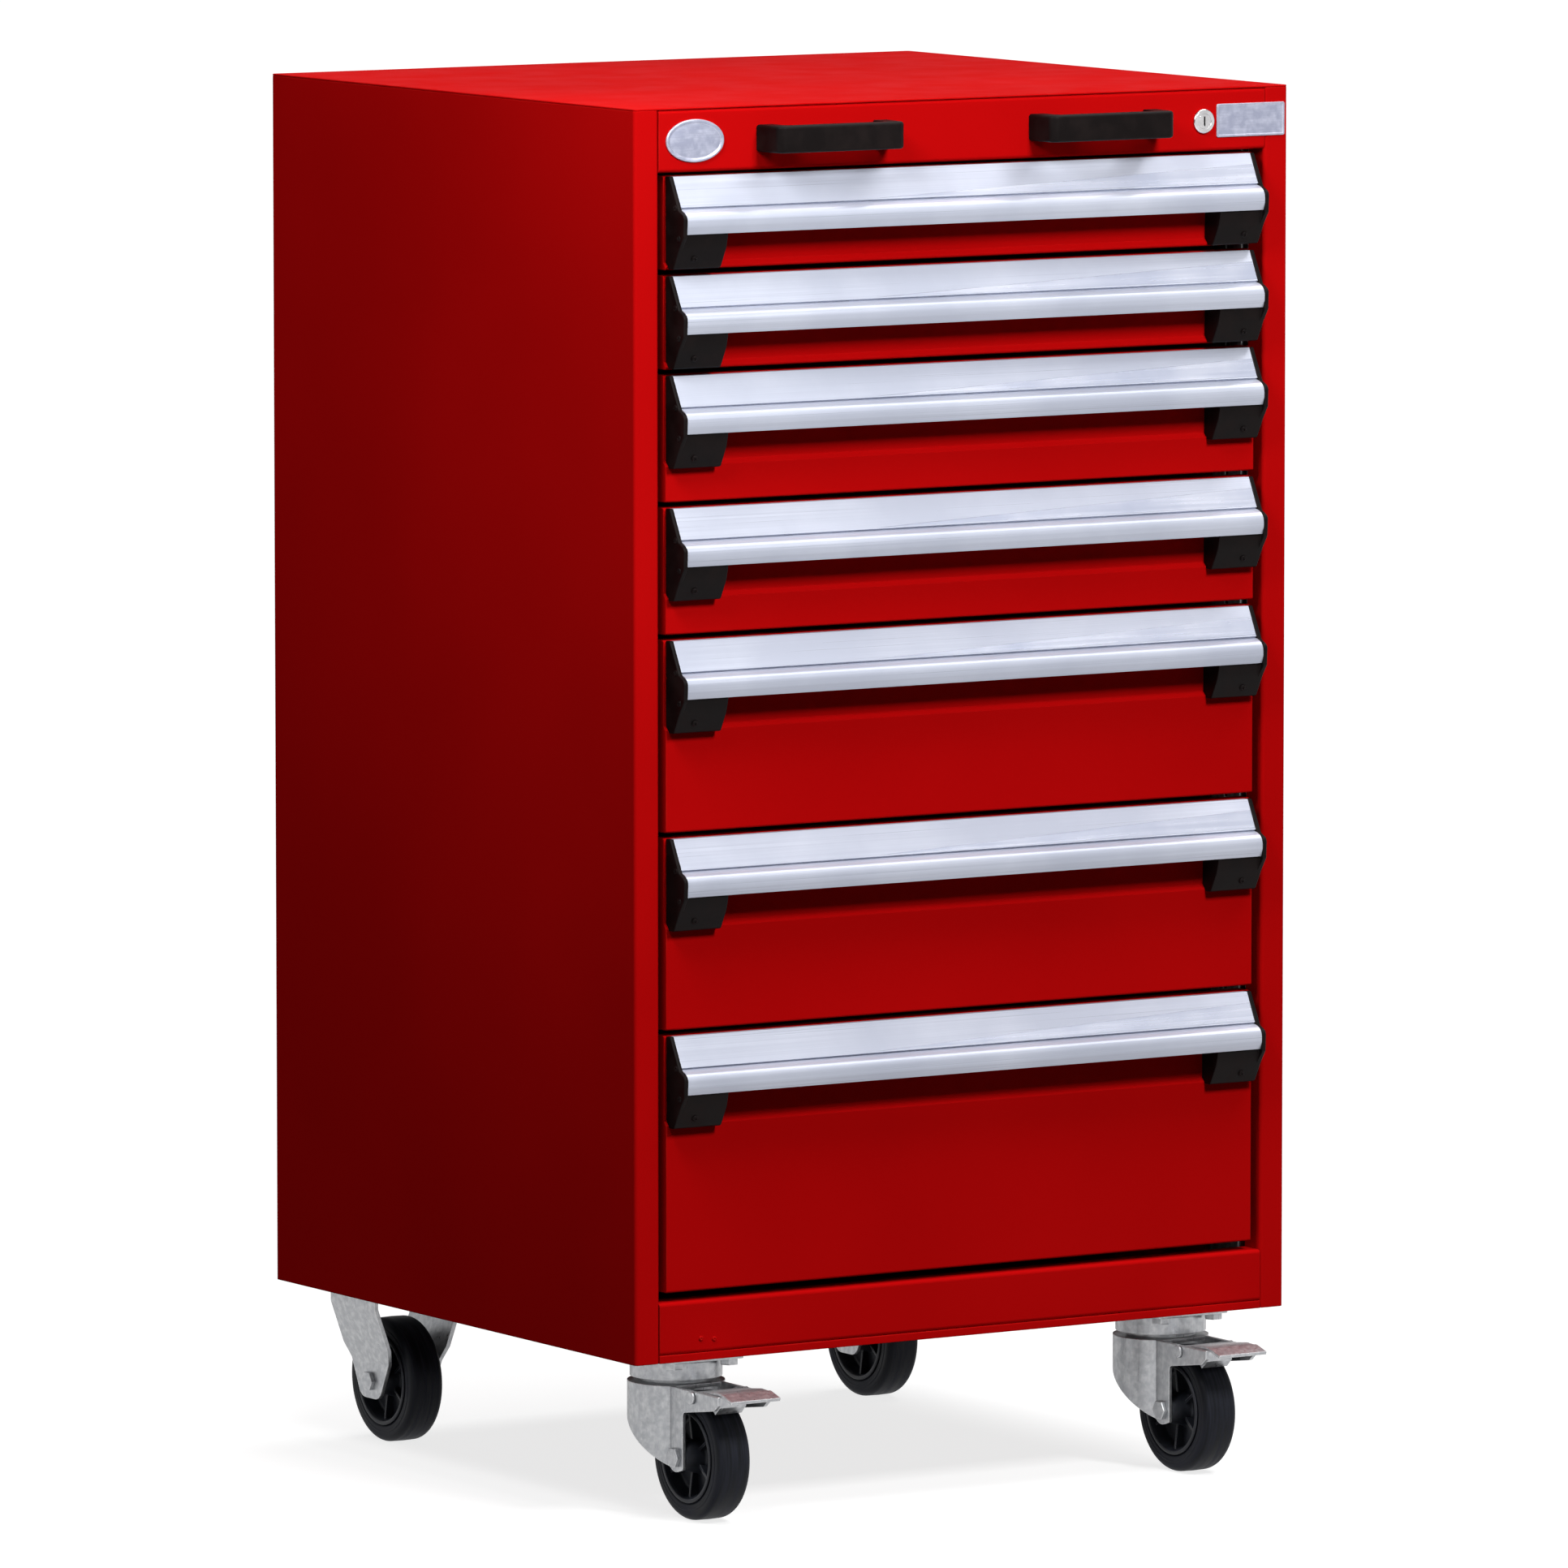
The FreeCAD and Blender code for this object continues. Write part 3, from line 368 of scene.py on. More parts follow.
@dataclass(frozen=True)
class MouldedFinish:
    """Moulded plastic or rubber: fine grain, streaks of dust and painted sheen, and worn edges painted
    lighter, a painted highlight where they catch the light.
    """

    name: str
    shade: Colour
    dust_and_sheen: Colour
    wear_and_edge_highlight: Colour
    roughness: Point
    grain_scale: float
    grain_depth: float
    edge: float
    specular: float = 0.3
    streaks: Point = (60.0, 60.0, 60.0)

    def material(self) -> Material:
        """Build the plastic.

        Returns:
            The material.
        """
        shader = Shader(self.name)
        grain = shader.noise(self.grain_scale, 2.0)
        streak = shader.noise(1.0, 4.0, shader.stretched(self.streaks))
        # Streaks of a lighter, bluer colour: dust, and on the rubber and the hub a painted sheen.
        dust_and_sheen_streaks = shader.ranged(streak, (0.42, 0.74), WHOLE)
        edge, rounded_normal = shader.edges(self.edge)
        # Edges painted lighter: partly wear, partly a painted highlight.
        wear_and_edge_highlight = shader.combined("MULTIPLY", edge, shader.ranged(streak, (0.3, 0.6), (0.3, 1.0)))
        body = shader.mixed(dust_and_sheen_streaks, self.shade, self.dust_and_sheen)
        shader.set(
            base_color=shader.mixed(wear_and_edge_highlight, body, self.wear_and_edge_highlight),
            roughness=shader.ranged(streak, (0.3, 0.7), self.roughness),
            normal=shader.bump(grain, self.grain_depth, rounded_normal),
            specular_ior_level=self.specular,
        )
        return shader.material


FINISHES = {
    Slot.RED_PAINT: PaintFinish(),
    Slot.ZINC: MetalFinish(
        "bright_zinc", tone(0.56, 0.57, 0.58), tone(0.38, 0.39, 0.41), tone(0.84, 0.85, 0.86),
        metallic=0.72, roughness=(0.24, 0.44), lines=(420.0, 420.0, 30.0), line_depth=0.00004,
        cloud_scale=210.0, edge=0.0012,
    ),
    Slot.ANODISED: MetalFinish(
        "anodised_aluminium", tone(0.60, 0.63, 0.73), tone(0.48, 0.51, 0.61), tone(0.74, 0.76, 0.83),
        metallic=0.3, roughness=(0.26, 0.36), lines=(3.0, 1400.0, 1400.0), line_depth=0.00003,
        cloud_scale=9.0, edge=0.0006,
    ),
    Slot.CHROME: MetalFinish(
        "polished_lock", tone(0.74, 0.73, 0.74), tone(0.55, 0.54, 0.55), tone(0.92, 0.92, 0.93),
        metallic=1.0, roughness=(0.12, 0.22), lines=(300.0, 20.0, 300.0), line_depth=0.00002,
        cloud_scale=120.0, edge=0.0004,
    ),
    Slot.BLACK_PLASTIC: MouldedFinish(
        "black_moulding", tone(0.0045, 0.0028, 0.0028), tone(0.010, 0.0065, 0.0062),
        tone(0.030, 0.022, 0.022), roughness=(0.40, 0.56), grain_scale=1500.0, grain_depth=0.00005,
        edge=0.0009, specular=0.07,
    ),
    # The hub's much lighter edge colour paints the highlight of a thin light ring at the rim.
    Slot.HUB_PLASTIC: MouldedFinish(
        "grey_hub_moulding", tone(0.016, 0.018, 0.025), tone(0.040, 0.044, 0.056), tone(0.34, 0.35, 0.40),
        roughness=(0.34, 0.50), grain_scale=1100.0, grain_depth=0.00004, edge=0.0011, specular=0.22,
    ),
    # The rubber's blue-grey streaks run round the tread: a painted sheen.
    Slot.RUBBER: MouldedFinish(
        "black_rubber", tone(0.006, 0.007, 0.010), tone(0.030, 0.032, 0.046), tone(0.050, 0.053, 0.068),
        roughness=(0.44, 0.64), grain_scale=900.0, grain_depth=0.00006, edge=0.0012, specular=0.14,
        streaks=(520.0, 22.0, 22.0),
    ),
}
STRIP = MetalFinish(
    "label_strip_plastic", tone(0.76, 0.79, 0.91), tone(0.56, 0.60, 0.74), tone(0.84, 0.87, 0.93),
    metallic=0.7, roughness=(0.22, 0.30), lines=(7.0, 330.0, 330.0), line_depth=0.00001,
    cloud_scale=14.0, edge=0.0003,
)
PLATE = MetalFinish(
    "brushed_plate", tone(0.52, 0.54, 0.66), tone(0.36, 0.38, 0.50), tone(0.86, 0.82, 0.88),
    metallic=0.6, roughness=(0.28, 0.42), lines=(60.0, 900.0, 900.0), line_depth=0.00003,
    cloud_scale=160.0, edge=0.0008,
)


# Mesh work


def rounded(corners: list[Point], steps: int = 5) -> list[Point]:
    """Turn corners into an outline, with an arc at each corner that has a radius.

    Args:
        corners: Two coordinates each, and a radius where the corner is round.
        steps: How many facets an arc has.

    Returns:
        The outline's points.
    """
    outline: list[Point] = []
    for index, corner in enumerate(corners):
        here = Vector(corner[:2])
        if len(corner) < 3:
            outline.append(tuple(here))
            continue
        before = (Vector(corners[index - 1][:2]) - here).normalized()
        after = (Vector(corners[(index + 1) % len(corners)][:2]) - here).normalized()
        half_angle = before.angle(after) / 2
        centre = here + (before + after).normalized() * (corner[2] / math.sin(half_angle))
        reach = corner[2] / math.tan(half_angle)
        start = here + before * reach - centre
        end = here + after * reach - centre
        first = math.atan2(start.y, start.x)
        turn = (math.atan2(end.y, end.x) - first + math.pi) % math.tau - math.pi
        for step in range(steps + 1):
            angle = first + turn * step / steps
            outline.append((centre.x + corner[2] * math.cos(angle), centre.y + corner[2] * math.sin(angle)))
    return outline


def add_thing(name: str, mesh: bpy.types.Mesh) -> Thing:
    """Put a mesh in the scene as an object at the origin.

    Args:
        name: The object's name.
        mesh: Its mesh.

    Returns:
        The object.
    """
    thing = bpy.data.objects.new(name, mesh)
    bpy.context.scene.collection.objects.link(thing)
    return thing


def from_bmesh(name: str, shape: bmesh.types.BMesh, finish: Material | None = None) -> Thing:
    """Turn a finished shape into an object, its faces smooth with sharp edges kept.

    Args:
        name: The object's name.
        shape: The shape, which is used up.
        finish: The material.

    Returns:
        The object.
    """
    bmesh.ops.recalc_face_normals(shape, faces=shape.faces)
    mesh = bpy.data.meshes.new(name)
    shape.to_mesh(mesh)
    shape.free()
    if finish is not None:
        mesh.materials.append(finish)
    mesh.shade_smooth()
    mesh.set_sharp_from_angle(angle=SHARP_ANGLE)
    return add_thing(name, mesh)


def settled(thing: Thing, name: str) -> Thing:
    """Replace an object and its modifiers by one plain mesh.

    Args:
        thing: The object, which is used up.
        name: The new object's name.

    Returns:
        The plain object.
    """
    bpy.context.view_layer.update()
    graph = bpy.context.evaluated_depsgraph_get()
    mesh = bpy.data.meshes.new_from_object(
        thing.evaluated_get(graph), preserve_all_data_layers=True, depsgraph=graph)
    mesh.name = name
    bpy.data.objects.remove(thing)
    return add_thing(name, mesh)


def lathed(shape: bmesh.types.BMesh, profile: list[Point], centre: Vector, segments: int) -> None:
    """Turn a closed profile round the x axis through a centre.

    Args:
        shape: The shape that gets the faces.
        profile: Points of (along x, radius).
        centre: The centre of the turned piece.
        segments: How many facets go round.
    """
    rings = []
    for step in range(segments):
        angle = math.tau * step / segments
        spoke = Vector((0.0, math.cos(angle), math.sin(angle)))
        rings.append([shape.verts.new(centre + Vector((along, 0.0, 0.0)) + spoke * radius)
                      for along, radius in profile])
    for step, ring in enumerate(rings):
        following = rings[(step + 1) % segments]
        for index in range(len(ring)):
            after = (index + 1) % len(ring)
            shape.faces.new((ring[index], ring[after], following[after], following[index]))


def domed_disc(name: str, rings: list[Point], segments: int = 24) -> Thing:
    """Make a small closed head that stands up along z: a screw, a rivet or a cover.

    Args:
        name: The object's name.
        rings: Points of (radius, height), from the foot to the top, all with some radius.
        segments: How many facets go round.

    Returns:
        The head.
    """
    shape = bmesh.new()
    loops = []
    angles = [math.tau * step / segments for step in range(segments)]
    for radius, height in rings:
        loops.append([shape.verts.new((radius * math.cos(angle), radius * math.sin(angle), height))
                      for angle in angles])
    stack(shape, loops)
    return from_bmesh(name, shape)


def stack(shape: bmesh.types.BMesh, loops: list[list[bmesh.types.BMVert]]) -> None:
    """Join loops of vertices, each as long as the next, into a closed pile.

    Args:
        shape: The shape that gets the faces.
        loops: The loops, from the bottom up.
    """
    count = len(loops[0])
    for lower, upper in zip(loops, loops[1:]):
        for index in range(count):
            after = (index + 1) % count
            shape.faces.new((lower[index], lower[after], upper[after], upper[index]))
    shape.faces.new(loops[0])
    shape.faces.new(loops[-1])


@dataclass(frozen=True)
class Trim:
    """A flat cut: what lies past the point in the cut's direction goes."""

    point: Vector
    way: Vector


class SoftCopy:
    """A CAD node's own shape with its edges softened."""

    merge_distance: float = 1e-6
    flat_angle: float = math.radians(0.4)
    bevel_segments: int = 2
    flat_weight: int = 80

    def __init__(self, frame: dict, finishes: Finishes) -> None:
        """Keep what each copy needs.

        Args:
            frame: The loaded part.
            finishes: The material of each slot.
        """
        self.nodes = frame["nodes"]
        self.finishes = finishes

    def make(self, node: str, slot: Slot, width: float, trims: tuple[Trim, ...] = ()) -> Thing:
        """Copy a node, soften its edges and let the copy stand for it.

        Args:
            node: The CAD node.
            slot: The slot that its finish comes from.
            width: How wide the softened edges are.
            trims: The flat cuts that it gets first.

        Returns:
            The copy, on the node's own body.
        """
        source = self.nodes[node]
        shape = bmesh.new()
        shape.from_mesh(source.data)
        bmesh.ops.remove_doubles(shape, verts=shape.verts, dist=self.merge_distance)
        bmesh.ops.dissolve_limit(shape, angle_limit=self.flat_angle, verts=shape.verts, edges=shape.edges)
        for trim in trims:
            whole = [*shape.verts, *shape.edges, *shape.faces]
            bmesh.ops.bisect_plane(
                shape, geom=whole, plane_co=trim.point, plane_no=trim.way, clear_outer=True)
            bmesh.ops.holes_fill(shape, edges=shape.edges)
        mesh = bpy.data.meshes.new(node)
        shape.to_mesh(mesh)
        shape.free()
        mesh.materials.append(self.finishes[slot])
        mesh.shade_smooth()
        copy = add_thing(node + "_raw", mesh)
        bevel = copy.modifiers.new("soft_edges", "BEVEL")
        bevel.width = width
        bevel.segments = self.bevel_segments
        bevel.limit_method = "ANGLE"
        bevel.angle_limit = SHARP_ANGLE
        bevel.use_clamp_overlap = True
        bevel.miter_outer = "MITER_ARC"
        weight = copy.modifiers.new("flat_faces", "WEIGHTED_NORMAL")
        weight.weight = self.flat_weight
        weight.keep_sharp = True
        piece = settled(copy, node + "_softened")
        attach(piece, source["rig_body"])
        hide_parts(node)
        log.info("%s: %d faces", piece.name, len(piece.data.polygons))
        return piece


# Geometry Nodes


class NodeProgram(NodeTree):
    """A Geometry Nodes tree with named inputs, run on a base mesh and turned into a plain one."""

    def __init__(self, name: str) -> None:
        """Start a tree.

        Args:
            name: The tree's name.
        """
        super().__init__(bpy.data.node_groups.new(name, "GeometryNodeTree"))
        self.tree.interface.new_socket(name="Geometry", in_out="INPUT", socket_type="NodeSocketGeometry")
        self.tree.interface.new_socket(name="Geometry", in_out="OUTPUT", socket_type="NodeSocketGeometry")
        self.entry = self.tree.nodes.new("NodeGroupInput")
        self.exit = self.tree.nodes.new("NodeGroupOutput")
        self.identifiers: dict[str, str] = {}

    def input(self, name: str, kind: str) -> Socket:
        """Add a named input.

        Args:
            name: Its name.
            kind: The socket's type name.

        Returns:
            The socket that carries it into the tree.
        """
        item = self.tree.interface.new_socket(name=name, in_out="INPUT", socket_type=kind)
        self.identifiers[name] = item.identifier
        return next(socket for socket in self.entry.outputs if socket.identifier == item.identifier)

    def close(self, geometry: Socket, finish: Socket) -> None:
        """End the tree: real geometry, dressed in its finish.

        Args:
            geometry: What the tree made.
            finish: The input that brings the material.
        """
        real = self.node("GeometryNodeRealizeInstances", {0: geometry})
        dressed = self.node("GeometryNodeSetMaterial", {"Geometry": real.outputs[0], "Material": finish})
        self.tree.links.new(dressed.outputs[0], self.exit.inputs[0])

    def run(self, base: Thing, name: str, values: dict[str, object]) -> Thing:
        """Run the tree on a base mesh.

        Args:
            base: The object that carries the modifier, which is used up.
            name: The result's name.
            values: A value for each named input.

        Returns:
            The result as a plain mesh.
        """
        modifier = base.modifiers.new(self.tree.name, "NODES")
        modifier.node_group = self.tree
        for key, value in values.items():
            modifier[self.identifiers[key]] = value
        base.update_tag()
        piece = settled(base, name)
        log.info("%s: %d faces", name, len(piece.data.polygons))
        return piece


def extrusion_program() -> NodeProgram:
    """Make the tree that draws an outline out into a bar along x.

    Returns:
        The tree, with its inputs Length, Seat and Finish.
    """
    program = NodeProgram("drawn_bar")
    length = program.input("Length", "NodeSocketFloat")
    seat = program.input("Seat", "NodeSocketVector")
    finish = program.input("Finish", "NodeSocketMaterial")
    curve = program.node("GeometryNodeMeshToCurve", {0: program.entry.outputs[0]})
    flat = program.node("GeometryNodeFillCurve", {0: curve.outputs[0]}, mode="NGONS")
    along = program.node("ShaderNodeCombineXYZ", {"Z": length})
    drawn = program.node("GeometryNodeExtrudeMesh", {"Mesh": flat.outputs[0], "Offset": along.outputs[0],
                                                     "Offset Scale": 1.0, "Individual": False})
    far_end = program.node("GeometryNodeFlipFaces", {0: flat.outputs[0]})
    whole = program.node("GeometryNodeJoinGeometry", {0: drawn.outputs[0]})
    program.tree.links.new(far_end.outputs[0], whole.inputs[0])
    closed = program.node("GeometryNodeMergeByDistance", {0: whole.outputs[0]})
    laid = program.node("GeometryNodeTransform", {0: closed.outputs[0]})
    laid.inputs["Rotation"].default_value = (math.pi / 2, 0.0, math.pi / 2)
    program.tree.links.new(seat, laid.inputs["Translation"])
    program.close(laid.outputs[0], finish)
    return program


def fastener_program() -> NodeProgram:
    """Make the tree that sets a head on each point, turned to face as the point says.

    Returns:
        The tree, with its inputs Head, Seed and Finish.
    """
    program = NodeProgram("fasteners")
    head = program.input("Head", "NodeSocketObject")
    seed = program.input("Seed", "NodeSocketInt")
    finish = program.input("Finish", "NodeSocketMaterial")
    shape = program.node("GeometryNodeObjectInfo", {"Object": head}, transform_space="ORIGINAL")
    facing = program.node("GeometryNodeInputNamedAttribute", {"Name": "facing"}, data_type="FLOAT_VECTOR")
    aimed = program.node("FunctionNodeAlignRotationToVector", {"Vector": facing.outputs[0]}, axis="Z")
    spin = program.node("FunctionNodeRandomValue", {3: math.tau, "Seed": seed}, data_type="FLOAT")
    turned = program.node("ShaderNodeCombineXYZ", {"Z": spin.outputs[1]})
    whole = program.node("FunctionNodeRotateRotation", {0: aimed.outputs[0], 1: turned.outputs[0]},
                         rotation_space="LOCAL")
    placed = program.node("GeometryNodeInstanceOnPoints", {"Points": program.entry.outputs[0],
                                                           "Instance": shape.outputs["Geometry"],
                                                           "Rotation": whole.outputs[0]})
    program.close(placed.outputs[0], finish)
    return program


def rib_program() -> NodeProgram:
    """Make the tree that repeats one rib round the x axis through a wheel's centre.

    Returns:
        The tree, with its inputs Count, Centre and Finish.
    """
    program = NodeProgram("ribs_round_a_hub")
    count = program.input("Count", "NodeSocketInt")
    centre = program.input("Centre", "NodeSocketVector")
    finish = program.input("Finish", "NodeSocketMaterial")
    points = program.node("GeometryNodeMeshLine", {"Count": count, "Offset": (0.0, 0.0, 0.0)})
    index = program.node("GeometryNodeInputIndex")
    share = program.node("ShaderNodeMath", {0: index.outputs[0], 1: count}, operation="DIVIDE")
    angle = program.node("ShaderNodeMath", {0: share.outputs[0], 1: math.tau}, operation="MULTIPLY")
    turn = program.node("ShaderNodeCombineXYZ", {"X": angle.outputs[0]})
    placed = program.node("GeometryNodeInstanceOnPoints", {"Points": points.outputs[0],
                                                           "Instance": program.entry.outputs[0],
                                                           "Rotation": turn.outputs[0]})
    moved = program.node("GeometryNodeTransform", {0: placed.outputs[0], "Translation": centre})
    program.close(moved.outputs[0], finish)
    return program


@dataclass(frozen=True)
class Fastener:
    """One screw or rivet head: where it sits, which way it faces."""

    place: Point
    facing: Point


class Fasteners:
    """Screws and rivets, one mesh for each body that carries some."""

    def __init__(self, finishes: Finishes) -> None:
        """Make the heads and the tree that sets them.

        Args:
            finishes: The material of each slot.
        """
        self.finishes = finishes
        self.program = fastener_program()
        self.screw = self.cross_head("screw_head", radius=2.6 * MM, height=1.5 * MM)
        self.rivet = domed_disc("rivet_head", [
            (2.0 * MM, 0.0), (2.0 * MM, 0.3 * MM), (1.7 * MM, 0.75 * MM), (1.0 * MM, 1.05 * MM),
            (0.7 * MM, 1.0 * MM), (0.6 * MM, 0.7 * MM)])
        for head in (self.screw, self.rivet):
            head.hide_render = True

    def cross_head(self, name: str, radius: float, height: float) -> Thing:
        """Model a domed screw head with a cross recess.

        Args:
            name: The head's name.
            radius: Its radius.
            height: Its height.

        Returns:
            The head.
        """
        dome = domed_disc(name + "_dome", [
            (radius * 0.96, 0.0), (radius, height * 0.25), (radius * 0.9, height * 0.6),
            (radius * 0.62, height * 0.9), (radius * 0.2, height)])
        shape = bmesh.new()
        long_half, short_half = radius * 0.62, radius * 0.13
        cross = [(long_half, short_half), (short_half, short_half), (short_half, long_half)]
        outline = []
        for quarter in range(4):
            turn = quarter * math.pi / 2
            cos, sin = math.cos(turn), math.sin(turn)
            outline.extend((x * cos - y * sin, x * sin + y * cos) for x, y in cross)
        loops = [[shape.verts.new((x, y, z)) for x, y in outline] for z in (height * 0.35, height * 1.5)]
        stack(shape, loops)
        recess = from_bmesh(name + "_recess", shape)
        cut = dome.modifiers.new("recess", "BOOLEAN")
        cut.object = recess
        cut.operation = "DIFFERENCE"
        head = settled(dome, name)
        bpy.data.objects.remove(recess)
        return head

    def fit(self, name: str, body: str, head: Thing, places: list[Fastener], slot: Slot, seed: int) -> Thing:
        """Set heads on a body.

        Args:
            name: The piece's name.
            body: The body that carries them.
            head: The head's model.
            places: Where they sit.
            slot: The slot that their finish comes from.
            seed: Fixes how each is turned.

        Returns:
            The piece.
        """
        mesh = bpy.data.meshes.new(name)
        mesh.from_pydata([item.place for item in places], [], [])
        facing = mesh.attributes.new("facing", "FLOAT_VECTOR", "POINT")
        for index, item in enumerate(places):
            facing.data[index].vector = item.facing
        piece = self.program.run(add_thing(name + "_points", mesh), name, {
            "Head": head, "Seed": seed, "Finish": self.finishes[slot]})
        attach(piece, body)
        return piece

    def put_away(self) -> None:
        """Remove the models once every head is set."""
        for head in (self.screw, self.rivet):
            bpy.data.objects.remove(head)


# Cabinet


@dataclass
class Housing:
    """The painted shell: its panels, the rivets on its back and two painted ones in its plinth."""

    soft: SoftCopy
    fasteners: Fasteners
    sheets: tuple[str, ...] = ("side_panel_left", "side_panel_right", "back_panel", "top_panel", "top_rail",
                               "bottom_rail", "base_pan")
    sheet_edge: float = 0.45 * MM
    plinth_rivets: tuple[Point, ...] = ((-0.241, 0.1450), (-0.229, 0.1438))
    rivet_rows: int = 9
    rivet_inset: float = 24.0 * MM
    rivet_end_gap: float = 0.04

    def build(self) -> None:
        """Build the shell."""
        for node in self.sheets:
            self.soft.make(node, Slot.RED_PAINT, self.sheet_edge)
        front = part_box("bottom_rail")[0].y
        pair = [Fastener((x, front, z), (0.0, -1.0, 0.0)) for x, z in self.plinth_rivets]
        self.fasteners.fit("plinth_rivets", "housing", self.fasteners.rivet, pair, Slot.RED_PAINT, seed=3)
        low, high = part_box("back_panel")
        rows = []
        height = high.z - low.z - 2 * self.rivet_end_gap
        for step in range(self.rivet_rows):
            z = low.z + self.rivet_end_gap + height * step / (self.rivet_rows - 1)
            for x in (low.x + self.rivet_inset, high.x - self.rivet_inset):
                rows.append(Fastener((x, high.y, z), (0.0, 1.0, 0.0)))
        self.fasteners.fit("back_rivets", "housing", self.fasteners.rivet, rows, Slot.ZINC, seed=5)


@dataclass
class Fascia:
    """What sits on the band above the drawers: pull handles, lock, bare badge and bare label plate."""

    soft: SoftCopy
    finish: Material
    badge_centre: Point = (-0.246, 1.0677)
    badge_half: Point = (0.026, 0.0165)
    plate_centre: Point = (0.2645, 1.0672)
    plate_half: Point = (0.0319, 0.0130)
    plate_corner: float = 1.5 * MM
    least_corner: float = 0.3 * MM
    segments: int = 72
    badge_rings: tuple[Point, ...] = (
        (0.0, 0.0), (0.0, 1.0), (0.5, 1.6), (1.5, 1.8), (2.4, 1.5), (3.0, 0.9), (6.0, 1.2), (11.0, 1.5))
    plate_rings: tuple[Point, ...] = (
        (0.0, 0.0), (0.0, 0.9), (0.35, 1.2), (1.5, 1.2), (1.9, 0.75), (2.4, 0.7), (9.0, 0.7))

    def build(self) -> None:
        """Build the fittings."""
        for node, width in (("lock_body", 0.25 * MM), ("lock_plug", 0.2 * MM)):
            self.soft.make(node, Slot.CHROME, width)
        self.soft.make("pull_handles", Slot.BLACK_PLASTIC, 0.5 * MM)
        self.plaque("badge", self.badge_centre, self.oval, self.badge_rings)
        self.plaque("label_plate", self.plate_centre, self.oblong, self.plate_rings)

    def oval(self, inset: float) -> list[Point]:
        """Give the badge's outline.

        Args:
            inset: How far it is drawn in.

        Returns:
            Its points round the badge's centre, as (x, z).
        """
        across, up = (half - inset for half in self.badge_half)
        angles = [math.tau * step / self.segments for step in range(self.segments)]
        return [(across * math.cos(angle), up * math.sin(angle)) for angle in angles]

    def oblong(self, inset: float) -> list[Point]:
        """Give the label plate's outline.

        Args:
            inset: How far it is drawn in.

        Returns:
            Its points round the plate's centre, as (x, z).
        """
        across, up = (half - inset for half in self.plate_half)
        radius = max(self.plate_corner - inset, self.least_corner)
        signs = ((1, 1), (-1, 1), (-1, -1), (1, -1))
        return rounded([(across * i, up * j, radius) for i, j in signs])

    def plaque(
        self, name: str, centre: Point, outline: Callable[[float], list[Point]], rings: tuple[Point, ...],
    ) -> None:
        """Build a flat fitting from insets of its outline.

        Args:
            name: The piece's name.
            centre: Its centre on the fascia, as (x, z).
            outline: Gives the outline for an inset.
            rings: Points of (inset, height) in millimetres, from the foot to the middle.
        """
        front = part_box("top_rail")[0].y
        shape = bmesh.new()
        loops = []
        for inset, height in rings:
            loops.append([shape.verts.new((centre[0] + x, front - height * MM, centre[1] + z))
                          for x, z in outline(inset * MM)])
        stack(shape, loops)
        piece = from_bmesh(name, shape, self.finish)
        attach(piece, "housing")
        log.info("%s: %d faces", name, len(piece.data.polygons))


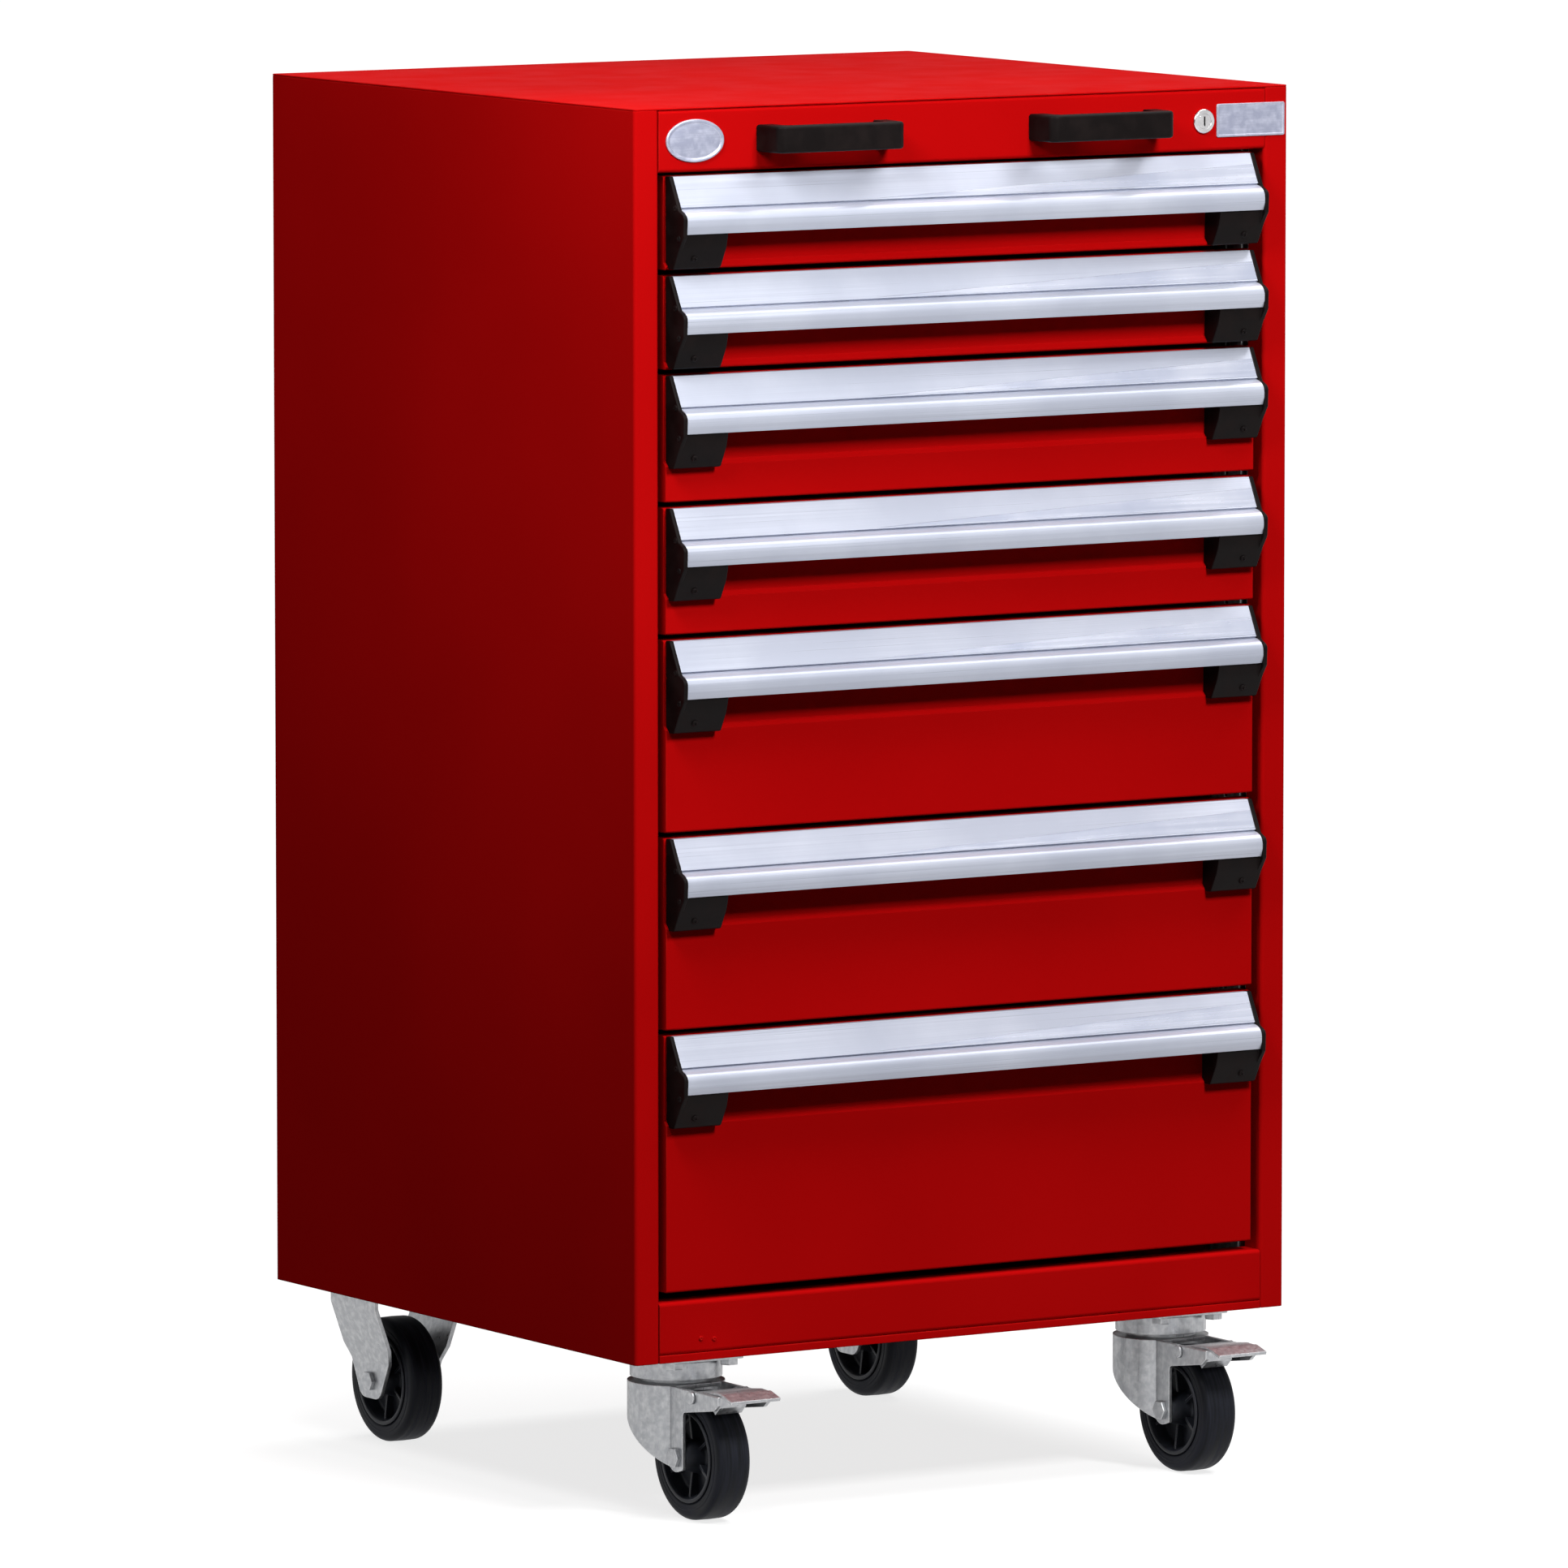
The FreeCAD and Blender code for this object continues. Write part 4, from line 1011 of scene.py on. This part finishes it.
@dataclass
class Drawers:
    """Seven drawers: painted boxes, drawn aluminium handles, moulded end caps and their screws."""

    soft: SoftCopy
    finishes: Finishes
    strip: Material
    fasteners: Fasteners
    count: int = 7
    box_edge: float = 0.4 * MM
    cap_edge: float = 0.7 * MM
    slope_start: Point = (-0.5, 0.4)
    slope_end: Point = (11.2, 23.4)
    field_depth: float = 0.35
    field_margin: float = 0.9
    strip_play: float = 0.3
    strip_foot: float = 0.15
    strip_rise: float = 0.25
    strip_round: float = 0.1
    strip_short: float = 1.0 * MM
    cap_top: float = 0.2 * MM
    cap_wall: float = 0.5 * MM
    plate_screws: tuple[Point, ...] = ((8.6 * MM, 24.0 * MM), (13.8 * MM, 47.0 * MM))
    grip_screw: Point = (9.9 * MM, 63.0 * MM)
    grip_screw_inset: float = 16.0 * MM
    grip_screw_facing: Point = (0.0, -16.0, -8.7)

    def build(self) -> None:
        """Build every drawer."""
        program = extrusion_program()
        for number in range(1, self.count + 1):
            body = f"drawer_{number}"
            self.soft.make(f"{body}_box", Slot.RED_PAINT, self.box_edge)
            self.soft.make(f"{body}_caps", Slot.BLACK_PLASTIC, self.cap_edge)
            self.handle(program, body)
            self.screws(body, number)

    def along_slope(self, travel: float, depth: float) -> Point:
        """Give a point on the handle's sloping face.

        Args:
            travel: Millimetres down the slope.
            depth: Millimetres below its surface.

        Returns:
            The point as (forward of the housing's face, below the front's top).
        """
        start = Vector(self.slope_start)
        run = (Vector(self.slope_end) - start).normalized()
        inward = Vector((-run.y, run.x))
        return tuple(start + run * travel + inward * depth)

    def slope_ends(self, margin: float) -> Point:
        """Give where something on the sloping face starts and ends.

        Args:
            margin: Millimetres left free at both ends of the slope.

        Returns:
            Two distances down the slope, in millimetres.
        """
        return margin, (Vector(self.slope_end) - Vector(self.slope_start)).length - margin

    def section(self) -> list[Point]:
        """Give the handle's section: a recessed label field, a groove and a grip lip.

        Returns:
            Corners as (forward, down) in millimetres, with radii where they are round.
        """
        near, far = self.slope_ends(self.field_margin)
        return [
            (-5.95, 0.4), (*self.slope_start, 0.5),
            self.along_slope(near, 0.0), self.along_slope(near + 0.2, self.field_depth),
            self.along_slope(far - 0.2, self.field_depth), self.along_slope(far, 0.0),
            (*self.slope_end, 0.2), (7.7, 24.8, 0.3), (12.0, 25.1, 0.6), (20.9, 28.4, 8.5), (20.7, 38.0, 6.0),
            (18.6, 44.0, 0.8), (16.9, 44.0, 0.8), (18.4, 33.0, 2.0), (9.6, 29.8), (5.6, 25.6),
            (-1.7, 2.4), (-3.9, 2.4), (-3.9, 40.0), (-5.95, 40.0),
        ]

    def drawn(self, program: NodeProgram, name: str, body: str, section: list[Point], length: float,
              finish: Material) -> Thing:
        """Draw a section out along a drawer's handle.

        Args:
            program: The tree that draws it.
            name: The piece's name.
            body: The drawer that carries it.
            section: Corners as (forward, down) in millimetres, with radii where they are round.
            length: The bar's length.
            finish: Its material.

        Returns:
            The piece.
        """
        outline = [(-forward * MM, -down * MM, 0.0) for forward, down in rounded(section)]
        edges = [(index, (index + 1) % len(outline)) for index in range(len(outline))]
        mesh = bpy.data.meshes.new(name)
        mesh.from_pydata(outline, edges, [])
        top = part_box(f"{body}_handle")[1].z + self.slope_start[1] * MM
        seat = (-length / 2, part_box("top_rail")[0].y, top)
        piece = program.run(add_thing(name + "_section", mesh), name, {
            "Length": length, "Seat": seat, "Finish": finish})
        piece.data.shade_smooth()
        piece.data.set_sharp_from_angle(angle=SHARP_ANGLE)
        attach(piece, body)
        return piece

    def handle(self, program: NodeProgram, body: str) -> None:
        """Build a drawer's handle and the label strip in its sloping face.

        Args:
            program: The tree that draws both.
            body: The drawer.
        """
        low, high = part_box(f"{body}_handle")
        length = high.x - low.x
        piece = self.drawn(program, f"{body}_handle_drawn", body, self.section(), length,
                           self.finishes[Slot.ANODISED])
        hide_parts(f"{body}_handle")
        near, far = self.slope_ends(self.field_margin + self.strip_play)
        base, face = self.field_depth + self.strip_foot, self.field_depth - self.strip_rise
        strip = [self.along_slope(near, base), (*self.along_slope(near, face), self.strip_round),
                 (*self.along_slope(far, face), self.strip_round), self.along_slope(far, base)]
        self.drawn(program, f"{body}_label_strip", body, strip, length - self.strip_short, self.strip)

    def screws(self, body: str, number: int) -> None:
        """Set the screws of a drawer's end caps: two in each end plate, one under each grip.

        Args:
            body: The drawer.
            number: Its number, which fixes how the screws are turned.
        """
        low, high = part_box(f"{body}_caps")
        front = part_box("top_rail")[0].y
        top = high.z + self.cap_top
        under = tuple(Vector(self.grip_screw_facing).normalized())
        places = []
        for side, x in ((-1.0, low.x), (1.0, high.x)):
            for forward, down in self.plate_screws:
                place = (x - side * self.cap_wall, front - forward, top - down)
                places.append(Fastener(place, (side, 0.0, 0.0)))
            forward, down = self.grip_screw
            places.append(Fastener((x - side * self.grip_screw_inset, front - forward, top - down), under))
        self.fasteners.fit(f"{body}_cap_screws", body, self.fasteners.screw, places, Slot.BLACK_PLASTIC,
                           seed=10 + number)


# Casters


@dataclass
class Wheels:
    """Four wheels: moulded hubs with ribs and a bead, and rounded rubber tyres."""

    finishes: Finishes
    radius: float = 50.0
    width: float = 30.0
    rim: float = 36.0
    ribs: int = 6
    rib_half: float = 1.1
    tyre_segments: int = 96
    hub_segments: int = 72

    def build(self) -> None:
        """Build every wheel."""
        program = rib_program()
        for end in ("front", "rear"):
            for side in ("left", "right"):
                body = f"{end}_wheel_{side}"
                low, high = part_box(f"{end}_tyre_{side}")
                centre = (low + high) / 2
                self.tyre(f"{end}_tyre_{side}", body, centre)
                self.hub(program, f"{end}_hub_{side}", body, centre)

    def finish(self, piece: Thing, body: str, node: str, slot: Slot) -> None:
        """Let a wheel's piece stand for its CAD node.

        Args:
            piece: The piece.
            body: The wheel that carries it.
            node: The CAD node.
            slot: The slot of its finish; not used.
        """
        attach(piece, body)
        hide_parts(node)

    def tyre(self, node: str, body: str, centre: Vector) -> None:
        """Build a tyre with a slightly crowned tread, round shoulders and a moulded line on its side.

        Args:
            node: The tyre's CAD node.
            body: The wheel that carries it.
            centre: The wheel's centre.
        """
        side, tread = self.width / 2, self.radius
        half = [
            (side - 2.0, self.rim), (side - 0.2, self.rim + 2.3, 0.6), (side - 0.2, self.rim + 5.2),
            (side, self.rim + 5.5), (side, self.rim + 6.2), (side - 0.3, self.rim + 6.5),
            (side, tread - 0.4, 5.2), (0.0, tread),
        ]
        profile = rounded(half + [(-along, *rest) for along, *rest in half[-2::-1]], 8)
        shape = bmesh.new()
        lathed(shape, [(along * MM, radius * MM) for along, radius in profile], centre, self.tyre_segments)
        piece = from_bmesh(node + "_turned", shape, self.finishes[Slot.RUBBER])
        self.finish(piece, body, node, Slot.RUBBER)

    def hub(self, program: NodeProgram, node: str, body: str, centre: Vector) -> None:
        """Build a hub: boss, dished web, beaded rim, and ribs between them on both sides.

        Args:
            program: The tree that repeats the ribs.
            node: The hub's CAD node.
            body: The wheel that carries it.
            centre: The wheel's centre.
        """
        low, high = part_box(node)
        boss = (high.x - low.x) / 2 / MM
        side = self.width / 2
        half = [
            (boss, 6.06), (boss, 10.0, 0.8), (side - 5.0, 12.6, 1.5), (4.2, 14.2, 2.5),
            (3.4, self.rim - 6.0, 2.5), (side - 2.2, self.rim - 3.6, 0.8), (side + 0.4, self.rim - 2.6, 0.7),
            (side + 0.4, self.rim + 0.6, 0.7), (side - 2.0, self.rim - 0.02),
        ]
        profile = rounded(half + [(-along, *rest) for along, *rest in half[::-1]], 4)
        shape = bmesh.new()
        lathed(shape, [(along * MM, radius * MM) for along, radius in profile], centre, self.hub_segments)
        turned = from_bmesh(node + "_turned", shape, self.finishes[Slot.HUB_PLASTIC])
        self.finish(turned, body, node, Slot.HUB_PLASTIC)
        rib = program.run(self.rib(node), node + "_ribs", {
            "Count": self.ribs, "Centre": tuple(centre), "Finish": self.finishes[Slot.HUB_PLASTIC]})
        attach(rib, body)

    def rib(self, node: str) -> Thing:
        """Model one pair of ribs that run out from the boss to the rim, each with a sloping top.

        Args:
            node: The hub's CAD node.

        Returns:
            The pair.
        """
        side = self.width / 2
        shape = bmesh.new()
        for flip in (-1.0, 1.0):
            outline = [(2.8, 11.5), (side - 6.5, 11.5), (side - 5.5, 14.5), (side - 3.6, self.rim - 5.0),
                       (side - 3.6, self.rim - 3.2), (2.8, self.rim - 3.2)]
            loops = []
            for y in (-self.rib_half, self.rib_half):
                loops.append([shape.verts.new((flip * along * MM, y * MM, out * MM))
                              for along, out in outline])
            stack(shape, loops)
        return from_bmesh(node + "_rib", shape)


@dataclass
class CasterFrames:
    """The zinc plated forks, brackets, plates, brakes and bolts."""

    soft: SoftCopy
    leg_shoulder: float = 22.0 * MM
    leg_boss: float = 11.5 * MM
    leg_facets: int = 7
    foot_wrap: float = 1.5

    def build(self) -> None:
        """Build the frames."""
        widths = {"swivel_plates": 0.7, "rigid_brackets": 0.8, "caster_bolts": 0.5, "rear_axles": 0.6}
        for side in ("left", "right"):
            widths[f"fork_{side}"] = 0.8
            widths[f"brake_pedal_{side}"] = 0.6
            widths[f"front_axle_{side}"] = 0.6
        trims = {f"fork_{side}": self.leg_outline(side) for side in ("left", "right")}
        for node, width in widths.items():
            self.soft.make(node, Slot.ZINC, width * MM, trims.get(node, ()))

    def leg_outline(self, side: str) -> tuple[Trim, ...]:
        """Trim a fork's legs: straight from the skirt's back to the axle, and round below it.

        Args:
            side: The caster's side.

        Returns:
            Flat cuts along the outline, the straight edge's first.
        """
        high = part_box(f"fork_{side}")[1]
        near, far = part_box(f"front_axle_{side}")
        axle = (near + far) / 2
        shoulder = Vector((axle.x, high.y, high.z - self.leg_shoulder))
        run = axle - shoulder
        lean = math.atan2(run.z, run.y) + math.asin(self.leg_boss / run.length) + math.pi / 2
        straight_down = 1.5 * math.pi
        turn = (straight_down - lean % math.tau) * self.foot_wrap / (self.leg_facets - 1)
        trims = []
        for step in range(self.leg_facets):
            angle = lean + turn * step
            way = Vector((0.0, math.cos(angle), math.sin(angle)))
            trims.append(Trim(axle + way * self.leg_boss, way))
        return tuple(trims)


# Studio


@dataclass(frozen=True)
class Lamp:
    """A soft square lamp: where it is, what it points at, its side and its power."""

    name: str
    place: Point
    target: Point
    side: float
    power: float


@dataclass
class Studio:
    """A plain pale floor, a broad high light, two soft lamps in front and to the left, and the camera."""

    lamps: tuple[Lamp, ...] = (
        Lamp("front_lamp", (0.1, -2.2, 2.2), (0.0, -0.25, 0.85), 0.6, 47.0),
        Lamp("left_lamp", (-1.0, -0.7, 1.8), (-0.3, -0.1, 0.9), 0.5, 12.5),
    )
    sky_from: Point = (0.3, 0.0, 1.0)
    sky_spread: float = 50.0
    sky_power: float = 2.1
    fill: float = 0.05
    floor_half: float = 80.0
    floor_grey: float = 0.08
    floor_glow: float = 0.79
    floor_share: float = 0.38
    camera_place: Point = (-5.89233, -9.36586, 1.74826)
    camera_pitch: float = -0.109013
    camera_yaw: float = -0.560795
    camera_focus: float = 17355.38
    image_side: float = 1932.0
    sensor: float = 36.0
    far_clip: float = 400.0

    def build(self) -> None:
        """Set up the studio."""
        self.floor()
        self.world()
        self.sky()
        for lamp in self.lamps:
            self.light(lamp)
        self.camera()

    def cleared(self, holder: Material | bpy.types.World) -> NodeTree:
        """Give a material's or a world's node tree, with nothing in it.

        Args:
            holder: The material or the world.

        Returns:
            The empty tree.
        """
        holder.use_nodes = True
        holder.node_tree.nodes.clear()
        return NodeTree(holder.node_tree)

    def seen(self, tree: NodeTree) -> Socket:
        """Tell what is seen from what only gives light.

        Args:
            tree: The node tree that asks.

        Returns:
            A value that is one for what the camera, a reflection or clear glass sees.
        """
        path = tree.node("ShaderNodeLightPath")
        value = path.outputs["Is Camera Ray"]
        for other in ("Is Glossy Ray", "Is Transmission Ray"):
            most = tree.node("ShaderNodeMath", {0: value, 1: path.outputs[other]}, operation="MAXIMUM")
            value = most.outputs[0]
        return value

    def floor(self) -> None:
        """Lay a pale floor that takes the object's shadow."""
        material = bpy.data.materials.new("pale_floor")
        tree = self.cleared(material)
        grey, pale = (tree.node("ShaderNodeBsdfDiffuse", {"Color": tone(share, share, share)}).outputs[0]
                      for share in (self.floor_grey, self.floor_share))
        glow = tree.node("ShaderNodeEmission", {"Strength": self.floor_glow})
        soft = tree.node("ShaderNodeAddShader", {0: glow.outputs[0], 1: pale})
        whole = tree.node("ShaderNodeMixShader", {0: self.seen(tree), 1: grey, 2: soft.outputs[0]})
        tree.node("ShaderNodeOutputMaterial", {"Surface": whole.outputs[0]})
        shape = bmesh.new()
        bmesh.ops.create_grid(shape, x_segments=2, y_segments=2, size=self.floor_half)
        floor = from_bmesh("floor", shape, material)

    def world(self) -> None:
        """Light from all round, white where it is seen."""
        world = bpy.data.worlds.new("studio")
        bpy.context.scene.world = world
        tree = self.cleared(world)
        level = tree.node("ShaderNodeMapRange", {0: self.seen(tree), 3: self.fill, 4: 1.0})
        around = tree.node("ShaderNodeBackground", {"Strength": level.outputs[0]})
        tree.node("ShaderNodeOutputWorld", {"Surface": around.outputs[0]})

    def sky(self) -> None:
        """Add a broad even light from above."""
        data = bpy.data.lights.new("sky_light", "SUN")
        data.angle = math.radians(self.sky_spread)
        data.energy = self.sky_power
        self.hang(data, self.sky_from, (0.0, 0.0, 0.0))

    def light(self, lamp: Lamp) -> None:
        """Hang a lamp and point it at its target.

        Args:
            lamp: The lamp.
        """
        data = bpy.data.lights.new(lamp.name, "AREA")
        data.shape = "SQUARE"
        data.size = lamp.side
        data.energy = lamp.power
        self.hang(data, lamp.place, lamp.target)

    def hang(self, data: bpy.types.Light, place: Point, target: Point) -> None:
        """Put a light in the scene and turn it to its target.

        Args:
            data: The light.
            place: Where it hangs.
            target: What it points at.
        """
        holder = bpy.data.objects.new(data.name, data)
        bpy.context.scene.collection.objects.link(holder)
        holder.location = place
        aim = Vector(target) - Vector(place)
        holder.rotation_euler = aim.to_track_quat("-Z", "Y").to_euler()

    def camera(self) -> None:
        """Stand the camera where the photograph was taken from."""
        data = bpy.data.cameras.new("photograph_view")
        data.sensor_width = self.sensor
        data.lens = self.camera_focus / self.image_side * self.sensor
        data.clip_end = self.far_clip
        camera = bpy.data.objects.new("photograph_view", data)
        bpy.context.scene.collection.objects.link(camera)
        camera.location = self.camera_place
        camera.rotation_euler = (math.pi / 2 + self.camera_pitch, 0.0, self.camera_yaw)
        bpy.context.scene.camera = camera


def dress(frame: dict, finishes: Finishes) -> None:
    """Give every CAD node the finish of its slot.

    Args:
        frame: The loaded part.
        finishes: The material of each slot.
    """
    by_name = {slot.value: material for slot, material in finishes.items()}
    for node in frame["nodes"].values():
        for holder in node.material_slots:
            holder.material = by_name[holder.material.name.split(".")[0]]


def clear_scene() -> None:
    """Remove what a new file starts with."""
    for thing in list(bpy.data.objects):
        bpy.data.objects.remove(thing)


def corners(bounds: tuple) -> list[list[float]]:
    """Give a box as plain lists of numbers.

    Args:
        bounds: Its lowest and highest corner.

    Returns:
        The two corners.
    """
    return [[float(number) for number in corner] for corner in bounds]


def main() -> None:
    """Build the cabinet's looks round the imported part."""
    logging.basicConfig(level=logging.INFO, format="%(name)s: %(message)s")
    clear_scene()
    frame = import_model()
    bpy.context.scene.view_settings.view_transform = "Standard"
    finishes = {slot: finish.material() for slot, finish in FINISHES.items()}
    dress(frame, finishes)
    soft = SoftCopy(frame, finishes)
    fasteners = Fasteners(finishes)
    Studio().build()
    Housing(soft, fasteners).build()
    Fascia(soft, PLATE.material()).build()
    Drawers(soft, finishes, STRIP.material(), fasteners).build()
    Wheels(finishes).build()
    CasterFrames(soft).build()
    fasteners.put_away()


if __name__ == "__main__":
    main()
